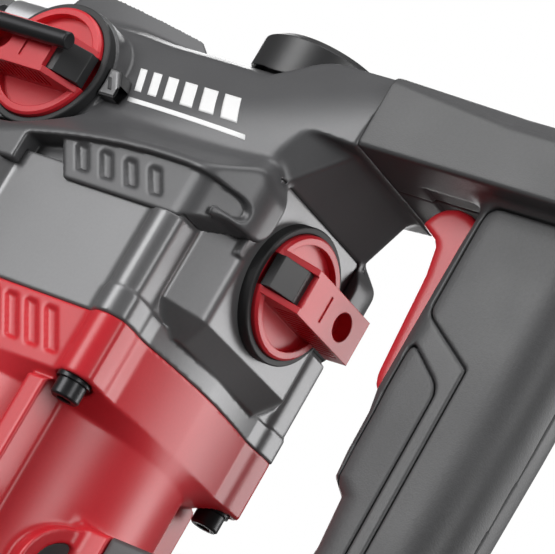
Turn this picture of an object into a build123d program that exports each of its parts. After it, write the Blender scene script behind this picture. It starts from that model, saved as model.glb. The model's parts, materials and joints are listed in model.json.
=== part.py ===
"""Corded L-type rotary hammer with a vertical motor and a rear D-handle.

Millimetres. Every shape is drawn about the point where the drilling axis (X, with the
chuck at -X) crosses the motor axis (Z, with the motor hanging below the gearbox). The
tool's left side is -Y. write() lifts the shapes, so the written parts stand on Z = 0,
with the origin at the centre of the motor's foot. Each one is parts/NAME.step.
"""

from build123d import *
import math
import os

# ---------------------------------------------------------------- driving sizes
RUN = 0.05               # radial running clearance between a shaft and its hole

# motor, from the top down
FLANGE_TOP = -80.4       # seam between the grey gear housing and the red motor housing
FLANGE_BOTTOM = -102.4
BODY_TOP = -109.0        # a cone joins the flange to the cylinder above this height
CONE_R = 52.0
BODY_R = 48.0
BODY_BOTTOM = -180.0
TOOL_BOTTOM = -202.0
STATOR_R = 43.0
CORE_R = 24.0
CORE_TOP = -113.0
CORE_BOTTOM = -146.0
COMMUTATOR_Z = -158.0    # also the height of the brushes
BRUSH_ANGLE = -20.0      # direction of the rear-left brush, degrees from +X
MOTOR_SHAFT_R = 5.0

# M6 socket head screws
SCREW_X = 37.0
SCREW_Y = 47.0
SCREW_R = 3.0
SCREW_HEAD_R = 5.0
SCREW_HEAD_H = 6.0
SCREW_LENGTH = 34.0
WASHER_R = 6.0
WASHER_H = 1.6

# one bearing size serves the motor and both gear shafts
BEARING_BORE_R = 5.0
BEARING_R = 13.0
BEARING_H = 8.0

# spur reduction from the motor pinion to the crank gear and the drive gear
SPUR_MODULE = 0.8
PINION_TEETH = 12
WHEEL_TEETH = 48
CENTRE_DISTANCE = SPUR_MODULE * (PINION_TEETH + WHEEL_TEETH) / 2
CRANK_X = CENTRE_DISTANCE
BEVEL_X = -CENTRE_DISTANCE
WHEEL_Z0 = -64.0
WHEEL_Z1 = -55.0

# bevel pair that turns the spindle, apex on the drilling axis at BEVEL_X
BEVEL_MODULE = 1.2
BEVEL_PINION_TEETH = 12
BEVEL_RING_TEETH = 36

# crank mechanism, at mid stroke
CRANK_THROW = 9.0
CRANK_PIN_R = 4.0
ROD_LENGTH = 66.0
WRIST_PIN_R = 3.0
WRIST_CLEARANCE = 0.8    # the open pivot of the slider-crank loop
WRIST_X = CRANK_X - math.sqrt(ROD_LENGTH**2 - CRANK_THROW**2)

# spindle and chuck
CYLINDER_R = 14.0
SPINDLE_R = 17.0
SPINDLE_STEP = -112.0
SPINDLE_STEP_R = 14.0
SPINDLE_FRONT = -150.0
SHANK_R = 5.0            # SDS-plus shank, 10 mm
NOSE_TIP = -232.0
BALL_X = -188.0
BALL_R = 3.4

# nose barrel and auxiliary side handle
BARREL_REAR = -72.0
BARREL_R = 26.0
BARREL_SCREWS = [(y, z) for y in (-24.0, 24.0) for z in (-16.0, 16.0)]
BARREL_LUG_FRONT = -90.0
CLAMP_X0 = -138.0
CLAMP_X1 = -116.0
CLAMP_X = (CLAMP_X0 + CLAMP_X1) / 2
GRIP_DROP = 40.0         # the grip points this far below the horizontal, degrees
ROD_Y = -62.0
ROD_R = 3.0
ROD_REAR = -26.8
ROD_LENGTH_OVERALL = 210.0

# gearbox and shroud
REAR_WALL = 55.5
SIDE_WALL = 50.0
ROOF = 31.0
ARM_HALF = 30.0
ARM_SEAM = 74.0
ARM_BOTTOM = 7.0
ARM_TOP = 34.5
COVER_FRONT = -72.0
FLANK_FOOT = -14.5       # lower edge of the shroud's sides behind the flare
CAP_R = 24.0
CAP_TOP = 42.0
RIM = -36.0              # top edge of the grey housing's walls
COLUMN_TOP = -42.2       # the screw columns stop under the shroud's side band
FLOOR = -76.0            # inside floor of the grey housing
BRIDGE_Z = -52.0         # underside of the bearing bridge
POSTS = [(x, y) for x in (-42.0, 42.0) for y in (-31.0, 31.0)]

# rotary knobs
KNOB_R = 21.0
KNOB_SEAL_R = 23.5
KNOB_DISC_H = 5.5
KNOB_GRIP_H = 10.0
KNOB_GRIP_HALF = 8.25
KNOB_SHAFT_R = 5.0
BUTTON_X0 = 9.5          # the lock button's reach from the knob's centre
BUTTON_X1 = 20.0
BUTTON_HALF = 5.8
MODE_KNOB = (-45.0, -42.5, -3.4)
PAD_R = 24.5             # round pad under the mode knob
REAR_KNOB_Z = -38.5

# rear handle
GRIP_STATIONS = [
    # height, front, rear, half width, corner radius
    (9.0, 117.0, 171.0, 18.0, 12.0),
    (-20.0, 118.0, 170.5, 18.0, 12.0),
    (-60.0, 119.0, 170.0, 18.0, 12.0),
    (-86.0, 117.0, 170.0, 18.0, 12.0),
    (-95.0, 126.0, 169.5, 18.0, 12.0),
    (-118.0, 127.0, 168.0, 18.0, 12.0),
    (-142.0, 124.0, 166.0, 18.0, 12.0),
]
HANDLE_SEAM = 58.0       # where the lower arm meets the motor housing
HANDLE_BOTTOM = -172.0
LOWER_ARM_HALF = 19.0
PAD_DEPTH = 2.0
TRIGGER_HALF = 9.0
TRIGGER_PIVOT = (123.0, -56.0)
HANDLE_SCREWS = [(84.0, 20.0), (160.0, 20.0), (133.0, -133.0), (70.0, -165.0)]
HANDLE_HEAD_Y = 15.0     # underside of the handle screws' heads, on the right side
LOCK_X = 138.0
LOCK_Z = -16.0
CORD_DIP = 35.0          # the cord leaves this far below the horizontal, degrees

os.makedirs("parts", exist_ok=True)


# ---------------------------------------------------------------- shape helpers
def box(x0, x1, y0, y1, z0, z1):
    """Axis-aligned box between two corners."""
    centre = ((x0 + x1) / 2, (y0 + y1) / 2, (z0 + z1) / 2)
    return Pos(*centre) * Box(x1 - x0, y1 - y0, z1 - z0)


def rod_x(x0, x1, radius, y=0.0, z=0.0):
    """Solid cylinder along X."""
    return Pos((x0 + x1) / 2, y, z) * Rot(0, 90, 0) * Cylinder(radius, abs(x1 - x0))


def rod_y(y0, y1, radius, x=0.0, z=0.0):
    """Solid cylinder along Y."""
    return Pos(x, (y0 + y1) / 2, z) * Rot(90, 0, 0) * Cylinder(radius, abs(y1 - y0))


def rod_z(z0, z1, radius, x=0.0, y=0.0):
    """Solid cylinder along Z."""
    return Pos(x, y, (z0 + z1) / 2) * Cylinder(radius, abs(z1 - z0))


def prism_x(points, x0, x1):
    """Polygon of (y, z) points extruded along X."""
    return extrude(Plane.YZ.offset(x0) * Polygon(*points, align=None), amount=x1 - x0, dir=(1, 0, 0))


def prism_y(points, y0, y1):
    """Polygon of (x, z) points extruded along Y."""
    return extrude(Plane.XZ.offset(-y0) * Polygon(*points, align=None), amount=y1 - y0, dir=(0, 1, 0))


def prism_z(points, z0, z1):
    """Polygon of (x, y) points extruded along Z."""
    return extrude(Plane.XY.offset(z0) * Polygon(*points, align=None), amount=z1 - z0, dir=(0, 0, 1))


def turned_x(points):
    """Polygon of (x, radius) points revolved about the X axis."""
    return revolve(Plane.XZ * Polygon(*points, align=None), axis=Axis.X)


def turned_z(points, x=0.0, y=0.0):
    """Polygon of (radius, z) points revolved about a vertical axis."""
    return Pos(x, y, 0) * revolve(Plane.XZ * Polygon(*points, align=None), axis=Axis.Z)


def mirrored(points):
    """Half outline of (y, z) points from the centre line, closed by its mirror image."""
    return list(points) + [(-y, z) for y, z in reversed(points) if y != 0]


def coil(radius, wire_r, height, turns):
    """Helical spring standing on the XY plane at the origin."""
    path = Helix(pitch=height / turns, height=height, radius=radius)
    section = Plane(origin=path @ 0, z_dir=path % 0) * Circle(wire_r)
    return sweep(section, path=path, is_frenet=True)


def write(name, *shapes):
    """Stand one node's solids on the foot plane and write its STEP file."""
    solids = [Pos(0, 0, -TOOL_BOTTOM) * solid for shape in shapes for solid in shape.solids()]
    whole = solids[0] if len(solids) == 1 else Compound(children=solids)
    whole.label = name
    export_step(whole, f"parts/{name}.step")


# ---------------------------------------------------------------- gear teeth
def involute_tooth(module, teeth, backlash, addendum=0.75, dedendum=1.05):
    """Root to tip (radius, half width, distance along) triples of a 20 degree involute tooth."""
    pressure = math.radians(20)
    pitch_r = module * teeth / 2
    base_r = pitch_r * math.cos(pressure)
    root_r = pitch_r - dedendum * module
    tip_r = pitch_r + addendum * module
    at_pitch = math.pi / (2 * teeth) - backlash / (2 * pitch_r)
    roll = math.tan(pressure) - pressure
    steps = 5
    pairs = []
    for i in range(steps + 1):
        radius = root_r + (tip_r - root_r) * i / steps
        angle = math.acos(min(1.0, base_r / max(radius, base_r)))
        half = at_pitch + roll - (math.tan(angle) - angle)
        pairs.append((radius, radius * math.sin(half), radius * math.cos(half)))
    return pairs


def spur_gear(teeth, z0, z1, x, bore_r, start_angle, backlash=0.16):
    """Spur gear on a vertical axis; the first tooth points at start_angle degrees."""
    profile = involute_tooth(SPUR_MODULE, teeth, backlash)
    root_r = profile[0][0]
    inside = root_r - SPUR_MODULE / 2
    left = [(along, half) for _, half, along in profile]
    right = [(along, -half) for _, half, along in reversed(profile)]
    outline = [(inside, profile[0][1])] + left + right + [(inside, -profile[0][1])]
    tooth = prism_z(outline, z0, z1)
    gear = rod_z(z0, z1, root_r)
    gear = gear.fuse(*[Rot(0, 0, start_angle + 360 * i / teeth) * tooth for i in range(teeth)])
    return Pos(x, 0, 0) * gear - rod_z(z0 - 1, z1 + 1, bore_r, x)


def bevel_gear(teeth, mate_teeth, face, first_tooth, backlash=0.3):
    """Straight bevel gear about +Z with its apex at the origin and its back towards -Z."""
    pitch_r = BEVEL_MODULE * teeth / 2
    drop = BEVEL_MODULE * mate_teeth / 2
    cone = math.atan2(pitch_r, drop)
    reach = math.hypot(pitch_r, drop)
    virtual = teeth / math.cos(cone)
    profile = involute_tooth(BEVEL_MODULE, virtual, backlash)
    back_r = BEVEL_MODULE * virtual / 2
    outline = [(half, along - back_r) for _, half, along in profile]
    outline += [(-half, height) for half, height in reversed(outline)]
    root = outline[0][1]
    outline = [(outline[0][0], root - 0.5)] + outline + [(outline[-1][0], root - 0.5)]
    outward = Vector(math.cos(cone), 0, math.sin(cone))
    along_cone = Vector(math.sin(cone), 0, -math.cos(cone))
    small = 1 - face / reach
    faces = []
    for scale in (1.0, small):
        origin = along_cone * (reach * scale)
        plane = Plane(origin=origin, x_dir=Vector(0, 1, 0), z_dir=along_cone)
        flip = 1 if plane.y_dir.dot(outward) > 0 else -1
        points = [(a * scale * flip, b * scale * flip) for a, b in outline]
        faces.append((plane * Polygon(*points, align=None)).face())
    tooth = loft(faces, ruled=True)
    foot = outward * root
    outer = along_cone * reach + foot
    inner = along_cone * (reach * small) + outward * (root * small)
    body = turned_z([(0, outer.Z), (outer.X, outer.Z), (inner.X, inner.Z), (0, inner.Z)])
    turns = [Rot(0, 0, first_tooth + 360 * i / teeth) for i in range(teeth)]
    return body.fuse(*[turn * tooth for turn in turns])


# ---------------------------------------------------------------- fasteners
def socket_screw(length=SCREW_LENGTH):
    """M6 socket head screw along +Z, under-head plane at the origin."""
    head = rod_z(-SCREW_HEAD_H, 0, SCREW_HEAD_R)
    head = chamfer(head.edges().group_by(Axis.Z)[0], 0.6)
    socket = extrude(Plane.XY.offset(-SCREW_HEAD_H) * RegularPolygon(2.9, 6), amount=3.2)
    return head - socket + rod_z(0, length, SCREW_R)


def washer():
    """Plain washer below the origin plane, on the Z axis."""
    return rod_z(-WASHER_H, 0, WASHER_R) - rod_z(-WASHER_H, 0, SCREW_R + 0.3)


def bearing(z0, x=0.0):
    """Deep groove bearing on a vertical axis with visible shield recesses."""
    ring = rod_z(z0, z0 + BEARING_H, BEARING_R) - rod_z(z0, z0 + BEARING_H, BEARING_BORE_R)
    groove = rod_z(0, 0.8, BEARING_R - 2) - rod_z(0, 0.8, BEARING_BORE_R + 2)
    ring -= Pos(0, 0, z0) * groove
    ring -= Pos(0, 0, z0 + BEARING_H - 0.8) * groove
    return Pos(x, 0, 0) * ring


def screw_places():
    """The four flange screws, as (x, y)."""
    return [(x, y) for x in (SCREW_X, -SCREW_X) for y in (-SCREW_Y, SCREW_Y)]


def hex_screws():
    """Eight M6 screws: four up through the motor flange, four back through the barrel."""
    seat = FLANGE_BOTTOM - WASHER_H
    screws = [Pos(x, y, seat) * socket_screw() for x, y in screw_places()]
    screws += [Pos(BARREL_LUG_FRONT - WASHER_H, y, z) * Rot(0, 90, 0) * socket_screw()
               for y, z in BARREL_SCREWS]
    return screws


def hex_washers():
    """A washer under each M6 head."""
    rings = [Pos(x, y, FLANGE_BOTTOM) * washer() for x, y in screw_places()]
    rings += [Pos(BARREL_LUG_FRONT, y, z) * Rot(0, 90, 0) * washer() for y, z in BARREL_SCREWS]
    return rings


# ---------------------------------------------------------------- plan outlines
def collar_sketch():
    """Plan outline shared by the gear housing's collar and the motor flange."""
    sagitta_x, chord_x, half_chord = 52.0, 43.0, 34.5
    bow = sagitta_x - chord_x
    bow_r = (half_chord**2 + bow**2) / (2 * bow)
    centre = sagitta_x - bow_r
    outline = RectangleRounded(2 * chord_x, 2 * SIDE_WALL + 1, 4)
    for x, y in screw_places():
        outline += Pos(x, y) * Circle(8)
        outline += Pos(math.copysign(38, x), math.copysign(43, y)) * Rectangle(14, 13)
    for side in (1, -1):
        rear = Pos(side * centre, 0) * Circle(bow_r)
        outline += rear & (Pos(side * 40, 0) * Rectangle(40, 2 * half_chord))
    return outline


def gearbox_points(inset=0.0):
    """Plan outline of the gear housing's walls, corners cut at 45 degrees."""
    rear = REAR_WALL - inset
    side = SIDE_WALL - inset
    quarter = [(rear, 27.5), (43.7, 40.0 - inset), (43.7, side)]
    right = [(x, -y) for x, y in quarter] + [(-x, -y) for x, y in reversed(quarter)]
    return right + [(x, -y) for x, y in reversed(right)]


# ---------------------------------------------------------------- housings
def gear_housing():
    """Grey lower housing: collar, screw columns, rear wall and bearing floor."""
    collar_top = -72.7
    bulge_bottom = -65.0
    wall_top = -12.0
    body = extrude(Plane.XY.offset(FLANGE_TOP) * collar_sketch(), amount=collar_top - FLANGE_TOP)
    lower = (Plane.XY.offset(collar_top) * Polygon(*gearbox_points(4.5), align=None)).face()
    upper = (Plane.XY.offset(bulge_bottom) * Polygon(*gearbox_points(), align=None)).face()
    body += loft([lower, upper], ruled=True)
    body += prism_z(gearbox_points(), bulge_bottom, RIM)
    for x, y in screw_places():
        body += rod_z(FLANGE_TOP, COLUMN_TOP, 7.5, x, y)
        body += rod_z(FLANGE_TOP, COLUMN_TOP, 3.0, math.copysign(44.0, x), math.copysign(43.5, y))
    body += box(47, REAR_WALL, -30.5, 30.5, RIM, wall_top)
    body -= box(-47, 46.9, -36, 36, FLOOR, 0)
    body += rod_z(-88, FLOOR, 17)
    body -= rod_z(-89, -79, BEARING_R)
    body -= rod_z(-80, FLOOR + 1, 8)
    for x in (CRANK_X, BEVEL_X):
        body += rod_z(FLOOR, FLOOR + BEARING_H, 16, x) - rod_z(FLOOR, FLOOR + BEARING_H, BEARING_R, x)
    for x, y in POSTS:
        body += rod_z(FLOOR, BRIDGE_Z, 4, x, y)
    for x, y in screw_places():
        body -= rod_z(FLANGE_TOP - 1, -66, SCREW_R + RUN, x, y)
    body -= rod_x(40, 60, KNOB_SHAFT_R + RUN, 0, REAR_KNOB_Z)
    return body


def bearing_bridge():
    """Plate on four posts that carries the upper shaft bearings."""
    top = BRIDGE_Z + BEARING_H + 2
    plate = box(-46.5, 46.5, -35.5, 35.5, BRIDGE_Z, top)
    for x in (CRANK_X, BEVEL_X):
        plate -= rod_z(BRIDGE_Z, BRIDGE_Z + BEARING_H, BEARING_R, x)
        plate -= rod_z(BRIDGE_Z, top, 10, x)
    return plate


def shroud_half(roof, bottom):
    """Half cross-section of the shroud: side band, lip, flare, leaning side and crowned roof."""
    side = [(0, bottom), (-51.8, bottom), (-51.8, -27), (-54.5, -25), (-42, -14), (-30, 20)]
    return side + [(-23, roof - 4), (-13, roof - 1), (0, roof)]


def shroud_outer():
    """Outside of the upper shroud before its openings are cut."""
    body = prism_x(mirrored(shroud_half(ROOF, -42)), COVER_FRONT, 40)
    body += front_hump()
    taper = [(20, -60), (34, -44), (58, -ARM_HALF), (ARM_SEAM, -ARM_HALF)]
    taper += [(x, -y) for x, y in reversed(taper)]
    flank = [(0, FLANK_FOOT), (-42.5, FLANK_FOOT), (-30, 20.5), (-23, ROOF - 4), (-13, ROOF - 1), (0, ROOF)]
    body += prism_x(mirrored(flank), 30, ARM_SEAM) & prism_z(taper, -60, 60)
    arm = prism_x(mirrored([(0, FLANK_FOOT), (-ARM_HALF, FLANK_FOOT)] + arm_top()), 18, ARM_SEAM)
    rise = [(16, -20), (16, 20), (44, ARM_TOP + 1), (80, ARM_TOP + 1), (80, -20)]
    body += arm & prism_y(rise, -40, 40)
    slant = [(REAR_WALL, -12), (70, ARM_BOTTOM), (80, ARM_BOTTOM), (80, -60), (REAR_WALL, -60)]
    body -= prism_y(slant, -60, 60)
    for side in (-1, 1):
        body += rear_corner(side)
    return body


def front_hump():
    """Raised roof over the hammer cylinder, sloping down to the main roof."""
    high = 35.0
    section = [(0, 10), (-29.5, 10), (-29.5, 21), (-25, high - 6), (-13, high - 1.5), (0, high)]
    slope = [(-80, 0), (-80, 40), (-46, high), (-26, ROOF - 0.5), (-22, 0)]
    return prism_x(mirrored(section), COVER_FRONT, -22) & prism_y(slope, -40, 40)


def arm_top():
    """Bevelled top corner of the rear arm, from the side up to the centre line."""
    bevel = 7.0
    return [(-ARM_HALF, ARM_TOP - bevel), (bevel - ARM_HALF, ARM_TOP), (0, ARM_TOP)]


def rear_corner(side):
    """Part of the side band that wraps round a rear corner of the gear housing."""
    plan = [(30, 38), (30, 60), (47, 51), (59.3, 38), (59.3, 31), (47.5, 31)]
    band = prism_z([(x, side * y) for x, y in plan], -35, -13)
    band &= prism_x(mirrored(shroud_half(ROOF, -42)), 29, 62)
    return band - prism_y([(62, -27), (62, -10), (52, -10), (59.5, -25)], -60, 60)


def vent_slots():
    """Four slanted slots in each side band."""
    pitch, width, height, lean = 10.3, 4.0, 10.0, math.tan(math.radians(30))
    half = height / 2
    middle = -34.5
    slots = []
    for i in range(4):
        x = -12 + pitch * i
        low, high = x + lean * half, x - lean * half
        outline = [(low - width / 2, middle - half), (low + width / 2, middle - half),
                   (high + width / 2, middle + half), (high - width / 2, middle + half)]
        slots.append(prism_y(outline, -53, -50.6))
        slots.append(prism_y(outline, 50.6, 53))
    return slots


def gear_cover():
    """Dark upper shroud with the cylinder bore, cap opening and knob seat."""
    x, y, z = MODE_KNOB
    body = shroud_outer()
    body -= rod_y(-60, y, 26, x, z)
    body += rod_y(y, -30, PAD_R, x, z)
    inside = [(0, -43), (-50.2, -43), (-50.2, -33), (-38, -14), (-26.5, 19), (-19, 24.5), (0, 26.5)]
    body -= prism_x(mirrored(inside), -56, 46.5)
    body -= box(46, 61, -30.6, 30.6, -60, -11.9)
    body -= box(44, ARM_SEAM + 1, -20, 20, 12, 27)
    body -= rod_x(-73, -63, 23)
    body -= rod_x(-64, -55, 18)
    for sy, sz in BARREL_SCREWS:
        body -= rod_x(-73, -56.8, SCREW_R + RUN, sy, sz)
    body -= rod_y(-60, -25, KNOB_SHAFT_R + RUN, x, z)
    body -= rod_z(15, 45, 19, CRANK_X)
    for slot in vent_slots():
        body -= slot
    return body


def index_block():
    """Raised block that the mode knob's button points at."""
    face_y = -44.5
    block = prism_y([(-27, -9.2), (-17, -9.2), (-17, 3), (-27, 3)], face_y, -33)
    x, y, z = MODE_KNOB
    return block - shroud_outer() - rod_y(-60, y, KNOB_SEAL_R + 0.3, x, z) - rod_y(y, -30, PAD_R, x, z)


def grease_cap():
    """Round cap over the crank, with a plug in the roof opening and a finger notch."""
    profile = [(0, 20), (CAP_R, 20), (CAP_R, CAP_TOP - 2.5), (CAP_R - 3, CAP_TOP), (0, CAP_TOP)]
    dome = turned_z(profile, CRANK_X)
    dome -= rod_z(CAP_TOP - 2, CAP_TOP + 1, 15, CRANK_X)
    dome += rod_z(CAP_TOP - 2.5, CAP_TOP - 0.5, 9, CRANK_X)
    plug = rod_z(24, 34, 18.9, CRANK_X)
    return dome - shroud_outer() + plug


def motor_housing():
    """Red housing: screw flange, cone, cylinder, brush bosses, vents and rear lug."""
    body = extrude(Plane.XY.offset(FLANGE_BOTTOM) * collar_sketch(), amount=FLANGE_TOP - FLANGE_BOTTOM)
    body += turned_z([(0, FLANGE_BOTTOM + 2), (CONE_R, FLANGE_BOTTOM + 2), (CONE_R, FLANGE_BOTTOM),
                      (BODY_R, BODY_TOP), (BODY_R, BODY_BOTTOM), (0, BODY_BOTTOM)])
    body += box(40, HANDLE_SEAM, -LOWER_ARM_HALF, LOWER_ARM_HALF, HANDLE_BOTTOM, -138)
    for x in (-20.0, 20.0):
        for y in (-1, 1):
            rib = [(x - 7, 44), (x - 7, 50.5), (x + 7, 50.5), (x + 7, 44)]
            body += prism_z([(a, y * b) for a, b in rib], BODY_BOTTOM + 8, FLANGE_BOTTOM)
    for turn in (BRUSH_ANGLE, BRUSH_ANGLE + 180):
        body += Rot(0, 0, turn) * rod_x(40, 51.5, 17, 0, COMMUTATOR_Z)
    body -= rod_z(BODY_BOTTOM - 1, -107.5, STATOR_R)
    body -= rod_z(-108, FLANGE_TOP + 1, 40)
    for turn in (BRUSH_ANGLE, BRUSH_ANGLE + 180):
        body -= Rot(0, 0, turn) * rod_x(40, 60, 12.05, 0, COMMUTATOR_Z)
    for x, y in screw_places():
        body -= rod_z(FLANGE_BOTTOM - 1, FLANGE_TOP + 1, SCREW_R + 0.3, x, y)
    for side in (-1, 1):
        for i in range(6):
            body -= box(-31.5 + 9.5 * i, -27.5 + 9.5 * i, *sorted((side * 38, side * 55)), -99, -85)
    body -= rod_x(40, 60, 7, 0, -155)
    return body


def end_cap():
    """Vented bottom cap that holds the lower motor bearing."""
    foot = TOOL_BOTTOM
    cup = turned_z([(0, foot), (43, foot), (46.5, foot + 3.5), (BODY_R, BODY_BOTTOM), (0, BODY_BOTTOM)])
    cup -= rod_z(foot + 4, BODY_BOTTOM + 1, 43)
    cup += rod_z(foot, -168, 17)
    for i in range(4):
        cup += Rot(0, 0, 45 + 90 * i) * box(10, 44.5, -2, 2, foot + 1, -182)
    cup -= rod_z(-176, -167, BEARING_R)
    for i in range(4):
        for height in (-196.5, -190.5):
            for step in (-18, 0, 18):
                slot = box(40, 50, -5, 5, height, height + 3)
                cup -= Rot(0, 0, 90 * i + step) * slot
    return cup


def nose_barrel():
    """Metal barrel in front of the shroud: four lugs, cone and clamp neck."""
    body = turned_x([(BARREL_REAR, 0), (BARREL_REAR, 33), (-80, 33), (-97, BARREL_R), (-146, BARREL_R),
                     (SPINDLE_FRONT, BARREL_R - 3), (SPINDLE_FRONT, 0)])
    for y, z in BARREL_SCREWS:
        body += rod_x(BARREL_LUG_FRONT, BARREL_REAR, 8, y, z)
    body -= rod_x(-142, BARREL_REAR, 19)
    body -= rod_x(-155, -141, SPINDLE_STEP_R + 1)
    for y, z in BARREL_SCREWS:
        body -= rod_x(BARREL_LUG_FRONT - 1, BARREL_REAR + 1, SCREW_R + 0.3, y, z)
    for y, z in BARREL_SCREWS:
        body -= rod_x(-110, BARREL_LUG_FRONT, WASHER_R + 0.6, y, z)
    return body


# ---------------------------------------------------------------- motor
def armature_shaft():
    """Motor shaft with the pinion cut on its upper end."""
    shaft = rod_z(-175.8, -78, MOTOR_SHAFT_R) + rod_z(-78, -67, 3.2)
    return shaft + spur_gear(PINION_TEETH, -67, -52, 0, 0, 0)


def armature_core():
    """Slotted lamination stack."""
    core = rod_z(CORE_BOTTOM, CORE_TOP, CORE_R) - rod_z(CORE_BOTTOM, CORE_TOP, MOTOR_SHAFT_R)
    slots = [Rot(0, 0, 30 * i) * box(16, 25, -1.2, 1.2, CORE_BOTTOM, CORE_TOP) for i in range(12)]
    return core - Compound(children=[s.solid() for s in slots])


def armature_windings():
    """Copper winding heads above and below the stack."""
    upper = turned_z([(6, CORE_TOP), (21, CORE_TOP), (19, CORE_TOP + 5), (6, CORE_TOP + 5)])
    lower = turned_z([(6, CORE_BOTTOM), (21, CORE_BOTTOM), (17, CORE_BOTTOM - 6), (6, CORE_BOTTOM - 6)])
    return upper, lower


def commutator():
    """Commutator with copper bars."""
    ring = rod_z(-167, -153, 13) - rod_z(-167, -153, MOTOR_SHAFT_R)
    cuts = [Rot(0, 0, 15 * i) * box(12, 14, -0.25, 0.25, -167, -154.5) for i in range(24)]
    return ring - Compound(children=[c.solid() for c in cuts])


def fan():
    """Cooling fan with curved-back straight blades."""
    wheel = rod_z(-104, -101.5, 36) + rod_z(-104, -94, 9)
    blades = [Rot(0, 0, 24 * i) * Pos(22, 0, -98) * Rot(0, 0, 25) * Box(24, 1.6, 8) for i in range(15)]
    wheel = wheel.fuse(*blades) - rod_z(-105, -93, MOTOR_SHAFT_R)
    return wheel & rod_z(-105, -93, 36)


def stator_core():
    """Field stack with two pole shoes."""
    ring = rod_z(-148, -111, STATOR_R) - rod_z(-148, -111, 39)
    for side in (-1, 1):
        pole = box(*sorted((side * 20, side * 40)), -12, 12, -148, -111)
        shoe = rod_z(-148, -111, 29) & box(*sorted((side * 14, side * 30)), -22, 22, -148, -111)
        ring += pole + shoe
    return ring - rod_z(-149, -110, CORE_R + 1)


def field_coils():
    """A copper coil round each pole."""
    coils = []
    for side in (-1, 1):
        loop = box(*sorted((side * 29.2, side * 34.5)), -17.5, 17.5, -152.5, -107.6)
        coils.append(loop - box(*sorted((side * 20, side * 40)), -12.3, 12.3, -148.3, -110.7))
    return coils


def brush_group():
    """Brush holders, carbon brushes and screw caps, one of each on each side."""
    holders, brushes, caps = [], [], []
    for turn in (BRUSH_ANGLE, BRUSH_ANGLE + 180):
        spin = Rot(0, 0, turn)
        channel = box(10, 42, -3.3, 3.3, COMMUTATOR_Z - 4.6, COMMUTATOR_Z + 4.6)
        tube = rod_x(16.5, 44, 9, 0, COMMUTATOR_Z) - channel
        holders.append(spin * (tube & box(10, 60, -9, 9, COMMUTATOR_Z - 9, -152.9)))
        brush = box(12, 32, -3.2, 3.2, COMMUTATOR_Z - 4.5, COMMUTATOR_Z + 4.5)
        brushes.append(spin * (brush - rod_z(-170, -150, 13.02)))
        coin_slot = box(49, 51, -9, 9, COMMUTATOR_Z - 1.2, COMMUTATOR_Z + 1.2)
        caps.append(spin * (rod_x(44, 50.5, 12, 0, COMMUTATOR_Z) - coin_slot))
    return holders, brushes, caps


def shaft_bearings():
    """Six equal bearings: two for the motor, two for each gear shaft."""
    places = [(-87.0, 0.0), (-176.0, 0.0)]
    places += [(z, x) for x in (CRANK_X, BEVEL_X) for z in (FLOOR, BRIDGE_Z)]
    return [bearing(z, x) for z, x in places]


# ---------------------------------------------------------------- gear train
def crank_gear():
    """Large gear driven by the motor pinion, beside the crankshaft."""
    gear = spur_gear(WHEEL_TEETH, WHEEL_Z0, WHEEL_Z1, CRANK_X, MOTOR_SHAFT_R + RUN, 3.75)
    holes = [Pos(CRANK_X, 0, 0) * Rot(0, 0, 60 * i) * rod_z(WHEEL_Z0, WHEEL_Z1, 3, 12) for i in range(6)]
    return gear - Compound(children=[h.solid() for h in holes])


def drive_gear():
    """Large gear keyed to the bevel shaft."""
    return spur_gear(WHEEL_TEETH, WHEEL_Z0, WHEEL_Z1, BEVEL_X, MOTOR_SHAFT_R, 3.75)


def bevel_pinion():
    """Vertical shaft with the bevel pinion on its upper end."""
    shaft = rod_z(FLOOR + 0.5, -40, MOTOR_SHAFT_R) + rod_z(-40, -24, 7)
    shaft += rod_z(-26, -22, 5.5)
    return Pos(BEVEL_X, 0, 0) * (shaft + bevel_gear(BEVEL_PINION_TEETH, BEVEL_RING_TEETH, 6, 0))


def bevel_ring():
    """Bevel ring gear pressed on the rear end of the spindle."""
    gear = bevel_gear(BEVEL_RING_TEETH, BEVEL_PINION_TEETH, 6, 180 / BEVEL_RING_TEETH)
    gear += rod_z(-14, -8.4, 20.5)
    gear -= rod_z(-20, 0, CYLINDER_R + 0.1)
    gear -= rod_z(-20, -8.6, SPINDLE_R)
    return Pos(BEVEL_X, 0, 0) * Rot(0, 90, 0) * gear


def crankshaft():
    """Crankshaft with counterweight and crank pin."""
    shaft = rod_z(FLOOR + 0.5, -42, MOTOR_SHAFT_R) + rod_z(-42, -20, 8)
    web = rod_z(-20, -12, 15)
    pin = rod_z(-12, 6, CRANK_PIN_R, 0, CRANK_THROW)
    return Pos(CRANK_X, 0, 0) * (shaft + web + pin)


def conrod():
    """Connecting rod from the crank pin to the wrist pin."""
    lean = math.degrees(math.asin(CRANK_THROW / ROD_LENGTH))
    rod = rod_z(-4, 4, 8) + rod_z(-4, 4, 6.2, -ROD_LENGTH) + box(-ROD_LENGTH, 0, -3.2, 3.2, -3, 3)
    rod -= rod_z(-5, 5, CRANK_PIN_R + RUN)
    rod -= rod_z(-5, 5, WRIST_PIN_R + WRIST_CLEARANCE, -ROD_LENGTH)
    return Pos(CRANK_X, CRANK_THROW, 0) * Rot(0, 0, lean) * rod


# ---------------------------------------------------------------- hammer mechanism
def piston():
    """Cup-shaped piston with a wrist pin hole and a ring groove."""
    rear, front = WRIST_X + 8, WRIST_X - 16
    radius = CYLINDER_R - RUN
    groove = [(front + 6, radius), (front + 6, radius - 1.8), (front + 3, radius - 1.8), (front + 3, radius)]
    body = turned_x([(rear, 0), (rear, radius)] + groove + [(front, radius), (front, 0)])
    body -= rod_x(WRIST_X - 8, rear + 1, 10)
    return body - rod_z(-15, 15, WRIST_PIN_R, WRIST_X)


def piston_ring():
    """Rubber ring in the piston's groove."""
    front = WRIST_X - 16
    radius = CYLINDER_R - RUN
    return rod_x(front + 3.2, front + 5.8, radius) - rod_x(front + 3, front + 6, radius - 1.8)


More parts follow.
